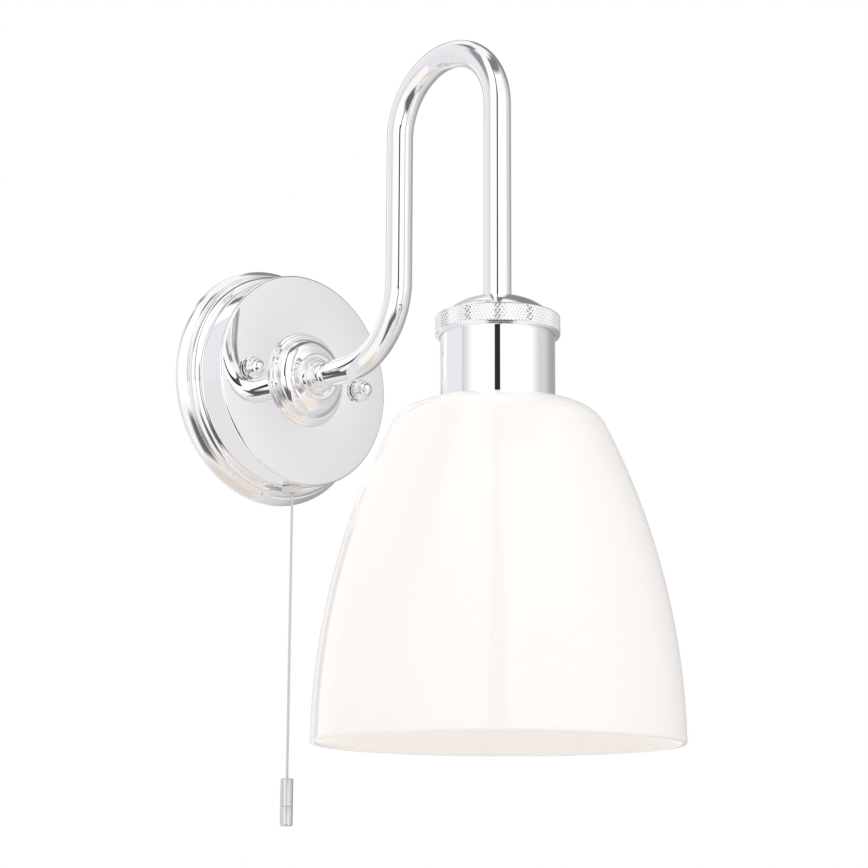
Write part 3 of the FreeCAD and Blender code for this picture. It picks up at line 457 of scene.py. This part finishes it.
floor_mesh.materials.append(moulded("floor_paper", (0.88, 0.84, 0.80), (0.86, 0.82, 0.78), 0.8, 0.9, 400.0))

# %% [markdown]
# ## The braided cord's finish
# The pull cord is a thin braid of white polyester. Two families of strands wind round it, one each way.
# Around a hanging cord the angle comes from X and Y and the climb from Z, so a strand is a sine of their sum,
# the other family a sine of their difference, and the braid is the higher of the two. The white yarn is
# painted darker in the low grooves between strands, a painted shade, and the same wave bumps the surface.

# %% Braid
CORD_AXIS = (0.0, -0.0182)
cord_look = bpy.data.materials.new("cord_white")
cord_look.use_nodes = True
braid = cord_look.node_tree
cord_shader = braid.nodes["Principled BSDF"]
cord_shader.inputs["Sheen Weight"].default_value = 0.25
place = add(braid, "ShaderNodeTexCoord")
centred = add(braid, "ShaderNodeMapping", {"Location": (-CORD_AXIS[0], -CORD_AXIS[1], 0.0)})
feed(braid, place.outputs["Object"], centred.inputs["Vector"])
split = add(braid, "ShaderNodeSeparateXYZ")
feed(braid, centred.outputs["Vector"], split.inputs[0])
angle = add(braid, "ShaderNodeMath", operation="ARCTAN2")
feed(braid, split.outputs["Y"], angle.inputs[0])
feed(braid, split.outputs["X"], angle.inputs[1])
STRANDS = 4.0
CLIMB = 4800.0
strands = []
for way in (STRANDS, -STRANDS):
    wound = add(braid, "ShaderNodeMath", {1: way}, operation="MULTIPLY")
    feed(braid, angle.outputs[0], wound.inputs[0])
    risen = add(braid, "ShaderNodeMath", {1: CLIMB}, operation="MULTIPLY_ADD")
    feed(braid, split.outputs["Z"], risen.inputs[0])
    feed(braid, wound.outputs[0], risen.inputs[2])
    crest = add(braid, "ShaderNodeMath", operation="SINE")
    feed(braid, risen.outputs[0], crest.inputs[0])
    strands.append(crest.outputs[0])
over = add(braid, "ShaderNodeMath", operation="MAXIMUM")
feed(braid, strands[0], over.inputs[0])
feed(braid, strands[1], over.inputs[1])
# painted shade: the low grooves of the white braid are coloured darker than its crests
painted_groove_shade = add(braid, "ShaderNodeMapRange", {"From Min": -0.6, "From Max": 0.7})
feed(braid, over.outputs[0], painted_groove_shade.inputs["Value"])
yarn_with_groove_shade = add(braid, "ShaderNodeMix", {6: (0.66, 0.65, 0.62, 1.0), 7: (0.93, 0.92, 0.89, 1.0)}, data_type="RGBA")
feed(braid, painted_groove_shade.outputs["Result"], yarn_with_groove_shade.inputs["Factor"])
feed(braid, yarn_with_groove_shade.outputs[2], cord_shader.inputs["Base Color"])
weave = add(braid, "ShaderNodeBump", {"Distance": 0.00006})
feed(braid, over.outputs[0], weave.inputs["Height"])
feed(braid, weave.outputs["Normal"], cord_shader.inputs["Normal"])
cord_shader.inputs["Roughness"].default_value = 0.6
finishes["cord_white"] = cord_look

# %% [markdown]
# ## Finishes on the CAD pieces
# Most CAD pieces have the right shape already: tubes, discs, screws and mouldings. They keep their mesh
# and only take the finish of their slot. A material is assigned to the mesh's own slot.

# %% Assign finishes
for part in frame["record"]["subparts"]:
    mesh = frame["nodes"][part["node"]].data
    mesh.materials.clear()
    mesh.materials.append(finishes[part["material_slot"]])

# %% [markdown]
# ## Outlines
# A turned piece is an outline carried round an axis. An outline is a list of corners, each a distance
# from the axis, a height along it and a small round, in millimetres. Real edges are never perfectly
# sharp, and the round is what catches the light.


# %% Outline helpers
NEARLY_HALF = 0.48  # how much of a short run one round may take, so that two rounds never meet


def arc(start, end, radius, side, steps=18):
    """Points of the short arc after its start. The centre is beside the chord's middle, at the height that
    Pythagoras gives, on the left of the way where side is 1 and on the right where it is -1."""
    start, end = np.array(start, float), np.array(end, float)
    chord = end - start
    half = np.linalg.norm(chord) / 2
    left = np.array([-chord[1], chord[0]]) / (2 * half)
    centre = (start + end) / 2 + left * side * math.sqrt(max(radius**2 - half**2, 0.0))
    first, last = (math.atan2(*(point - centre)[::-1]) for point in (start, end))
    sweep = (last - first + math.pi) % (2 * math.pi) - math.pi
    angles = first + sweep * np.linspace(0.0, 1.0, steps + 1)[1:]
    return centre + radius * np.column_stack([np.cos(angles), np.sin(angles)])


def outline(corners, arcs=None, steps=5):
    """The points of a turned piece's outline. arcs gives {run: (radius, side)} for round runs. A corner
    with a round is cut off by a parabola: the mean of the cut's two ends and the corner, with weights
    (1-t)^2, t^2 and 2t(1-t)."""
    arcs = arcs or {}
    points, rounds = [], []
    for i, (radius, height, soft) in enumerate(corners):
        if i - 1 not in arcs:
            points.append((radius, height))
            rounds.append(soft)
        else:
            rounds[-1] = soft
        if i in arcs:
            bent = arc((radius, height), corners[(i + 1) % len(corners)][:2], *arcs[i])
            points.extend(map(tuple, bent))
            rounds.extend([0.0] * len(bent))
    points = np.array(points)
    t = np.linspace(0.0, 1.0, steps)[:, None]
    path = []
    for i, soft in enumerate(rounds):
        here = points[i]
        if not soft:
            path.append(here[None])
            continue
        ends = []
        for way in (points[i - 1] - here, points[(i + 1) % len(points)] - here):
            length = np.linalg.norm(way)
            ends.append(here + way * min(soft, NEARLY_HALF * length) / length)
        path.append((1 - t) ** 2 * ends[0] + 2 * t * (1 - t) * here + t**2 * ends[1])
    return np.vstack(path)


def evenly(start, end, count):
    """Corners along a straight run, evenly spaced, for a run that gets relief."""
    return [(*point, 0.0) for point in np.linspace(start, end, count)]


# %% [markdown]
# ## Turning
# To turn an outline, every point of it is carried round the axis: across = radius times cosine and sine of
# the angle, and along = height. The grid's columns close on themselves, so there is no seam, and an
# outline that ends on the axis gets one single point there.

# %% Turning helpers
UP = (Vector((1, 0, 0)), Vector((0, 1, 0)), Vector((0, 0, 1)))
OUT_FROM_WALL = (Vector((1, 0, 0)), Vector((0, 0, 1)), Vector((0, -1, 0)))
SHARP = math.radians(32)  # a steeper fold than this stays a sharp edge
MM = 0.001  # outlines are in millimetres, meshes in metres


def signed_volume(points, faces):
    """Six times the volume inside, as the sum of the triple products of each face's first three corners
    and its centre: positive where the faces point outwards."""
    total = 0.0
    for size in (3, 4):
        rows = np.array([face for face in faces if len(face) == size])
        if len(rows):
            a, b, c = points[rows[:, 0]], points[rows[:, 1]], points[rows[:, 2]]
            total += np.einsum("ij,ij->i", a, np.cross(b, c)).sum()
            if size == 4:
                total += np.einsum("ij,ij->i", a, np.cross(c, points[rows[:, 3]])).sum()
    return total


def turned(name, path, axes, centre, steps=192, relief=None):
    """A mesh from an outline carried round an axis. relief(angle, height) is added to the radius. An outline
    with both ends on the axis is open there, any other one is a closed loop."""
    poles = path[0, 0] == 0.0 and path[-1, 0] == 0.0
    ring = path[1:-1] if poles else path
    turn = np.linspace(0.0, 2 * math.pi, steps, endpoint=False)
    radius, height = np.meshgrid(ring[:, 0], turn)[0], np.meshgrid(ring[:, 1], turn)[0]
    angle = np.repeat(turn[:, None], len(ring), axis=1)
    if relief:
        radius = radius + relief(angle, height)
    across, aside, way = (np.array(axis) for axis in axes)
    points = (
        np.array(centre)
        + MM * (radius * np.cos(angle))[..., None] * across
        + MM * (radius * np.sin(angle))[..., None] * aside
        + MM * height[..., None] * way
    ).reshape(-1, 3)
    count = len(ring)
    i = np.arange(steps)[:, None]
    j = np.arange(count - 1 if poles else count)[None, :]
    corner = lambda a, b: (a % steps) * count + b % count
    quads = np.stack([corner(i, j), corner(i + 1, j), corner(i + 1, j + 1), corner(i, j + 1)], axis=-1)
    faces = quads.reshape(-1, 4).tolist()
    if poles:
        ends = [np.array(centre) + MM * path[k, 1] * way for k in (0, -1)]
        points = np.vstack([points, ends])
        first, last = steps * count, steps * count + 1
        k = np.arange(steps)
        start_fan = np.stack([np.full(steps, first), corner(k + 1, 0), corner(k, 0)], axis=-1)
        end_fan = np.stack([np.full(steps, last), corner(k, count - 1), corner(k + 1, count - 1)], axis=-1)
        faces += start_fan.tolist() + end_fan.tolist()
    if signed_volume(points - points.mean(axis=0), faces) < 0:
        faces = [face[::-1] for face in faces]
    mesh = bpy.data.meshes.new(name)
    mesh.from_pydata(points.tolist(), [], faces)
    mesh.polygons.foreach_set("use_smooth", np.ones(len(faces), bool))
    mesh.set_sharp_from_angle(angle=SHARP)
    mesh.update()
    return mesh


def stand_for(mesh, slot, body, *nodes, look=None):
    """A finished piece: it takes its slot's finish, or the look named, rides on its body and stands for
    CAD nodes."""
    piece = bpy.data.objects.new(mesh.name, mesh)
    bpy.context.scene.collection.objects.link(piece)
    mesh.materials.append(finishes[look or slot])
    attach(piece, body)
    if nodes:
        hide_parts(*nodes)
    print(f"{mesh.name}: {len(mesh.polygons)} faces, rides on {body}")
    return piece


# %% [markdown]
# ## Opal glass shade
# The shade is blown into a bell: a neck that hangs inside the sleeve, a round shoulder, and a long side
# that opens out very slightly less as it goes down, to a fire-polished rim. It is turned from the inner
# and the outer outline together, so that the wall has its real 2.8 mm.

# %% Shade
LAMP_AXIS = (0.0, -0.15415, 0.0)
shade_path = outline(
    [
        (14.4, -14.4, 0.3),
        (14.4, -11.6, 0.3),
        (22.8, -11.6, 1.2),
        (22.8, -32.3, 1.0),
        (31.0, -33.2, 0.0),
        (45.8, -42.3, 0.0),
        (77.4, -171.5, 0.8),
        (77.7, -175.6, 1.4),
        (74.9, -175.6, 1.4),
        (74.6, -171.5, 0.8),
        (43.2, -43.6, 0.0),
        (30.6, -36.0, 0.0),
        (20.0, -34.9, 1.0),
        (20.0, -14.4, 0.8),
    ],
    {4: (17.5, -1), 5: (303.0, -1, 60), 9: (300.2, 1, 60), 10: (14.7, 1)},
)
shade = turned("bell_shade", shade_path, UP, LAMP_AXIS, 256)
stand_for(shade, "opal_glass", "fitting", "glass_shade")

# %% [markdown]
# ## Spun rings on the wall
# The drum, its base ring and the stepped boss are spun from brass sheet over a former and chromed. Their
# hollows and beads bend the room's reflections into fine dark lines, so they are turned again here with
# many more points than a CAD export has, and with a small round on every edge. The small holes behind
# the finials and the outlet nut never show, so the turned drum leaves them out.

# %% Drum, base ring and boss
WALL_AXIS = (0.0, 0.0, 0.0)
spun = {
    "drum_cover": (
        [
            (48.8, 2.0, 0.0), (50.0, 2.0, 0.2), (50.0, 25.2, 0.0), (48.7, 26.5, 0.0), (5.1, 26.5, 0.1),
            (5.1, 25.3, 0.0), (48.8, 25.3, 0.0),
        ],
        {2: (1.3, 1)},
        0.0,
    ),
    "base_ring": (
        [
            (50.0, 1.0, 0.0), (56.5, 1.0, 0.2), (56.5, 2.6, 0.2), (53.9, 6.3, 0.3), (53.1, 6.3, 0.25),
            (53.1, 7.0, 0.25), (50.6, 10.6, 0.2), (50.0, 10.6, 0.0),
        ],
        {2: (12.0, 1), 5: (2.9, 1)},
        0.0,
    ),
    "boss_base": (
        [
            (5.0, 0.0, 0.0), (22.0, 0.0, 0.15), (22.0, 1.0, 0.2), (20.9, 1.3, 0.25), (20.9, 2.2, 0.2),
            (19.6, 2.5, 0.25), (19.6, 3.2, 0.15), (5.0, 3.2, 0.0),
        ],
        {1: (0.6, 1), 3: (0.6, 1), 5: (0.5, 1)},
        26.5,
    ),
    "boss_dome": (
        [
            (5.0, 3.2, 0.0), (18.9, 3.2, 0.15), (18.9, 4.2, 0.3), (13.6, 7.6, 0.6), (11.0, 8.4, 0.4),
            (10.6, 9.8, 0.2), (9.0, 9.8, 0.3), (8.0, 8.4, 0.3), (5.0, 8.4, 0.0),
        ],
        {2: (6.5, 1), 4: (0.9, 1)},
        26.5,
    ),
    "arm_collar": (
        [
            (5.0, 8.4, 0.0), (7.6, 8.4, 0.15), (7.6, 10.4, 0.2), (6.4, 11.2, 0.2), (6.4, 12.5, 0.2),
            (5.0, 12.5, 0.0),
        ],
        {2: (1.2, 1)},
        26.5,
    ),
}
for node, (corners, arcs, start) in spun.items():
    path = outline(corners, arcs) + np.array([0.0, start])
    stand_for(turned("spun_" + node, path, OUT_FROM_WALL, WALL_AXIS, 256), "chrome", "fitting", node)

# %% [markdown]
# ## Swan neck
# The arm is one 12 mm brass tube: out of the boss, up in a bend, over in a half circle and down into the
# cap. Its middle line lies in one plane, so a section circle needs only two ways: the sideways X, and
# the way square to the line in that plane. Outer and inner wall are one closed grid.

# %% Arm
TUBE_RADIUS, BORE_RADIUS = 0.006, 0.005
BEND, ARCH = 0.035, 0.031575
ARM_START, BEND_START, ARM_DEPTH = 0.039, 0.056, 0.15415
ARCH_HEIGHT, ARM_END = 0.1021, 0.0125


def arm_line():
    """The middle line as distance from the wall, height and heading: two quarter-turn and half-turn arcs
    (centre plus radius times cosine and sine) joined by straight runs. Heading 0 is outwards, 90 is up."""
    quarter = np.linspace(0.0, math.pi / 2, 49)
    half = np.linspace(math.pi, 0.0, 97)
    bend = np.column_stack([BEND_START + BEND * np.sin(quarter), BEND - BEND * np.cos(quarter), quarter])
    over, up = ARM_DEPTH - ARCH + ARCH * np.cos(half), ARCH_HEIGHT + ARCH * np.sin(half)
    arch = np.column_stack([over, up, half - math.pi / 2])
    start = [[ARM_START, 0.0, 0.0]]
    end = [[ARM_DEPTH, ARM_END, -math.pi / 2]]
    return np.vstack([start, bend, arch, end])


def arm_tube(name, sides=96):
    """Middle line plus radius times (cosine of the turn along X, sine along the in-plane normal), first for
    the outer wall from start to end, then for the bore from end to start."""
    line = arm_line()
    line = np.vstack([line, line[::-1]])
    radius = np.repeat([TUBE_RADIUS, BORE_RADIUS], len(line) // 2)
    turn = np.linspace(0.0, 2 * math.pi, sides, endpoint=False)
    side = np.outer(radius, np.cos(turn))
    rise = np.outer(radius, np.sin(turn))
    outwards = line[:, :1] - rise * np.sin(line[:, 2:])
    height = line[:, 1:2] + rise * np.cos(line[:, 2:])
    points = np.stack([side, -outwards, height], axis=-1).reshape(-1, 3)
    count = len(line)
    i, j = np.arange(count)[:, None], np.arange(sides)[None, :]
    here, there, k = i * sides, (i + 1) % count * sides, (j + 1) % sides
    faces = np.stack([here + j, here + k, there + k, there + j], axis=-1).reshape(-1, 4).tolist()
    if signed_volume(points - points.mean(axis=0), faces) < 0:
        faces = [face[::-1] for face in faces]
    mesh = bpy.data.meshes.new(name)
    mesh.from_pydata(points.tolist(), [], faces)
    mesh.polygons.foreach_set("use_smooth", np.ones(len(faces), bool))
    mesh.set_sharp_from_angle(angle=SHARP)
    return mesh


stand_for(arm_tube("bent_arm"), "chrome", "fitting", "swan_neck_arm")

# %% [markdown]
# ## Cap over the lampholder
# The cap above the knurled ring is one low dome with a small step up to the arm, turned in one piece.

# %% Cap
cap_path = outline(
    [
        (6.0, 15.3, 0.0), (6.0, 13.9, 0.0), (12.5, 11.9, 0.0), (23.1, 4.2, 0.0), (23.1, 3.2, 0.0),
        (24.5, 3.2, 0.0), (24.5, 5.0, 0.3), (13.0, 13.0, 0.5), (8.3, 14.6, 0.5), (6.3, 15.3, 0.2),
    ],
    {2: (22.0, -1), 6: (23.0, 1)},
)
stand_for(turned("spun_cap", cap_path, UP, LAMP_AXIS, 256), "chrome", "fitting", "socket_cap")

# %% [markdown]
# ## Knurled ring
# The ring that clamps the shade is gripped with wet fingers, so its side has a fine diamond knurl. Two
# families of grooves wind round it in opposite ways. With a triangle wave for each, the lower of the two
# waves is a field of small pyramids, taller than they are wide. Eight samples for each pyramid catch its
# foot, flanks and tip exactly, both round the ring and up it.


# %% Knurls
def triangle(turns):
    """A wave that climbs from 0 to 1 and back once in each turn."""
    return 1.0 - 2.0 * np.abs(turns - np.floor(turns) - 0.5)


def band(height, low, high, edge):
    """1 between two heights, fading to 0 over edge outside them."""
    return np.clip((height - low) / edge + 1, 0, 1) * np.clip((high - height) / edge + 1, 0, 1)


RING_DIAMONDS = 112
RING_ROWS = 5.5
RING_KNURL = (-1.55, 5.25)
RING_DEPTH = 0.42
RING_SAMPLES = 8


def diamond_knurl(angle, height):
    """Minus the depth times how far the lower of the two groove waves is below its crest."""
    around = angle * RING_DIAMONDS / (2 * math.pi)
    climb = (height - RING_KNURL[0]) * RING_ROWS / (RING_KNURL[1] - RING_KNURL[0])
    crest = np.minimum(triangle(around + climb / 2), triangle(around - climb / 2))
    return -RING_DEPTH * (1.0 - crest) * band(height, *RING_KNURL, 0.1)


ring_path = outline(
    [(24.55, -3.0, 0.3), (25.5, -3.0, 0.0), (26.45, -2.6, 0.0), (26.8, -1.95, 0.0)]
    + evenly((26.9, RING_KNURL[0]), (26.9, RING_KNURL[1]), int(RING_ROWS * RING_SAMPLES / 2) + 1)
    + [(26.75, 5.6, 0.0), (26.35, 6.0, 0.0), (25.9, 6.1, 0.0), (24.55, 6.1, 0.2)]
)
ring = turned("diamond_ring", ring_path, UP, LAMP_AXIS, RING_DIAMONDS * RING_SAMPLES, diamond_knurl)
stand_for(ring, "chrome", "knurled_ring", "knurled_ring")

# %% [markdown]
# ## Finial nuts
# Two small nuts hold the cover on its studs. Each has a thin knurled foot to turn it by and a polished
# ball. The knurl is straight here: one triangle wave round the foot.

# %% Finials
FINIAL_TEETH = 56
FINIAL_SAMPLES = 4
FINIAL_DEPTH = 0.26
FINIAL_KNURL = (0.35, 2.35)


def straight_knurl(angle, height):
    """Minus the depth of the grooves times how far the wave round the foot is below its crest."""
    wave = triangle(angle * FINIAL_TEETH / (2 * math.pi))
    return -FINIAL_DEPTH * (1.0 - wave) * band(height, *FINIAL_KNURL, 0.2)


finial_path = outline(
    [(2.1, 0.0, 0.1), (4.9, 0.0, 0.0), (5.08, 0.15, 0.0)]
    + evenly((5.1, FINIAL_KNURL[0]), (5.1, FINIAL_KNURL[1]), 5)
    + [
        (5.05, 2.6, 0.0), (4.9, 2.8, 0.0), (4.6, 3.0, 0.2), (3.533, 3.0, 0.0), (3.7, 4.1, 0.0),
        (0.04, 7.8, 0.0), (0.04, 5.6, 0.0), (2.1, 5.4, 0.1),
    ],
    {11: (3.7, 1, 8), 12: (3.7, 1, 24)},
)
for side, across in (("left", -0.0327), ("right", 0.0327)):
    foot = (across, -0.0269, 0.0)
    steps = FINIAL_TEETH * FINIAL_SAMPLES
    nut = turned(f"finial_ball_{side}", finial_path, OUT_FROM_WALL, foot, steps, straight_knurl)
    stand_for(nut, "chrome", f"finial_{side}", f"finial_nut_{side}")

# %% [markdown]
# ## Pull weight
# The weight is a little chrome rod in two halves that screw together over the knot. It is plated as it
# comes off the lathe, so it is satin and not a mirror. A fine dark seam between softly rounded edges
# shows where the halves meet.

# %% Weight
WEIGHT_TOP = (0.0, -0.0182, -0.1846)
upper_path = outline(
    [
        (0.7, 0.0, 0.0), (0.7, -17.0, 0.0), (1.9, -17.0, 0.0), (1.9, -12.5, 0.0), (2.9, -12.5, 0.12),
        (2.9, -0.4, 0.5), (2.5, 0.0, 0.3),
    ]
)
lower_path = outline(
    [
        (0.0, -21.4, 0.0), (2.4, -21.4, 0.4), (2.9, -20.9, 0.4), (2.9, -12.65, 0.12), (2.0, -12.65, 0.0),
        (2.0, -17.3, 0.0), (1.4, -17.3, 0.0), (1.4, -20.0, 0.0), (0.0, -20.0, 0.0),
    ]
)
sleeve = turned("weight_sleeve", upper_path, UP, WEIGHT_TOP, 96)
weight = stand_for(sleeve, "chrome", "cord", "weight_upper", look="satin_chrome")
end = turned("weight_end", lower_path, UP, WEIGHT_TOP, 96)
weight_end = stand_for(end, "chrome", "weight_cap", "weight_lower", look="satin_chrome")

# %% [markdown]
# ## Pull cord
# The cord hangs straight from its outlet, pulled taut by the weight. It is a curve, so it stays one
# smooth line however closely it is looked at, and its round section comes from the curve's bevel.

# %% Cord
CORD_LENGTH = 0.1318
CORD_DIAMETER = 0.0012
OUTLET = (0.0, -0.0182, -0.0528)
cord_points = [(OUTLET[0], OUTLET[1], OUTLET[2] - CORD_LENGTH * step) for step in (0, 0.2, 0.4, 0.6, 0.8, 1)]
cord_line = bpy.data.curves.new("braided_cord", "CURVE")
cord_line.dimensions = "3D"
run = cord_line.splines.new("NURBS")
run.points.add(len(cord_points) - 1)
run.points.foreach_set("co", np.column_stack([cord_points, np.ones(len(cord_points))]).ravel())
run.order_u = 3
run.use_endpoint_u = True
cord_line.resolution_u = 12
cord_line.bevel_depth = CORD_DIAMETER / 2
cord_line.bevel_resolution = 6
cord_line.use_fill_caps = True
cord_line.materials.append(finishes["cord_white"])
cord = bpy.data.objects.new("braided_cord", cord_line)
bpy.context.scene.collection.objects.link(cord)
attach(cord, "cord")
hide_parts("pull_cord")

# %% [markdown]
# ## Return spring
# Inside the switch a coil spring of half-millimetre wire lifts the slider after each pull. The middle of the
# wire climbs round a cylinder, and a small circle stands square to it at every step. A spring gets shorter
# when the cord is pulled. Here it is built at rest, with a mesh of its own.

# %% Spring
SPRING_FOOT, SPRING_HEIGHT, PULL = -0.0441, 0.0141, 0.008
SPRING_RADIUS, WIRE_RADIUS, COILS = 0.00285, 0.00025, 6
SIDES, STEPS = 10, 240


def coil_spring(name):
    """Middle of the wire: radius times cosine and sine of the turn, and a steady climb. Round it, a circle
    in the plane of the outward way and of the way that is square to both the wire and the outward way."""
    turn = np.linspace(0.0, 2 * math.pi * COILS, STEPS)
    section = np.linspace(0.0, 2 * math.pi, SIDES, endpoint=False)
    outward = np.column_stack([np.cos(turn), np.sin(turn), np.zeros(STEPS)])
    climb = (SPRING_HEIGHT - 2 * WIRE_RADIUS) / turn[-1]
    forward = np.column_stack([-np.sin(turn), np.cos(turn), np.full(STEPS, climb / SPRING_RADIUS)])
    forward /= np.linalg.norm(forward, axis=1)[:, None]
    square = np.cross(forward, outward)
    middle = np.array([CORD_AXIS[0], CORD_AXIS[1], SPRING_FOOT + WIRE_RADIUS]) + SPRING_RADIUS * outward
    middle[:, 2] += climb * turn
    cosine, sine = np.cos(section)[None, :, None], np.sin(section)[None, :, None]
    around = cosine * outward[:, None] + sine * square[:, None]
    points = (middle[:, None] + WIRE_RADIUS * around).reshape(-1, 3)
    i, j = np.arange(STEPS - 1)[:, None], np.arange(SIDES)[None, :]
    k = (j + 1) % SIDES
    rows = [i * SIDES + j, i * SIDES + k, (i + 1) * SIDES + k, (i + 1) * SIDES + j]
    faces = np.stack(rows, axis=-1).reshape(-1, 4).tolist()
    faces += [list(range(SIDES))[::-1], list(range((STEPS - 1) * SIDES, STEPS * SIDES))]
    if signed_volume(points - points.mean(axis=0), faces) < 0:
        faces = [face[::-1] for face in faces]
    mesh = bpy.data.meshes.new(name)
    mesh.from_pydata(points.tolist(), [], faces)
    mesh.polygons.foreach_set("use_smooth", np.ones(len(faces), bool))
    return mesh


spring = stand_for(coil_spring("coil_spring"), "steel", "fitting", "return_spring")
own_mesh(spring)

# %% [markdown]
# ## Sizes
# The looks must not change the light's size. The box of the CAD pieces and the box of everything that is
# shown are written side by side, so that they can be compared.

# %% Show the two boxes side by side
shown_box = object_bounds()
{"cad": [list(corner) for corner in cad_box], "visual": [list(corner) for corner in shown_box]}
print("CAD box", cad_box, "shown box", shown_box)
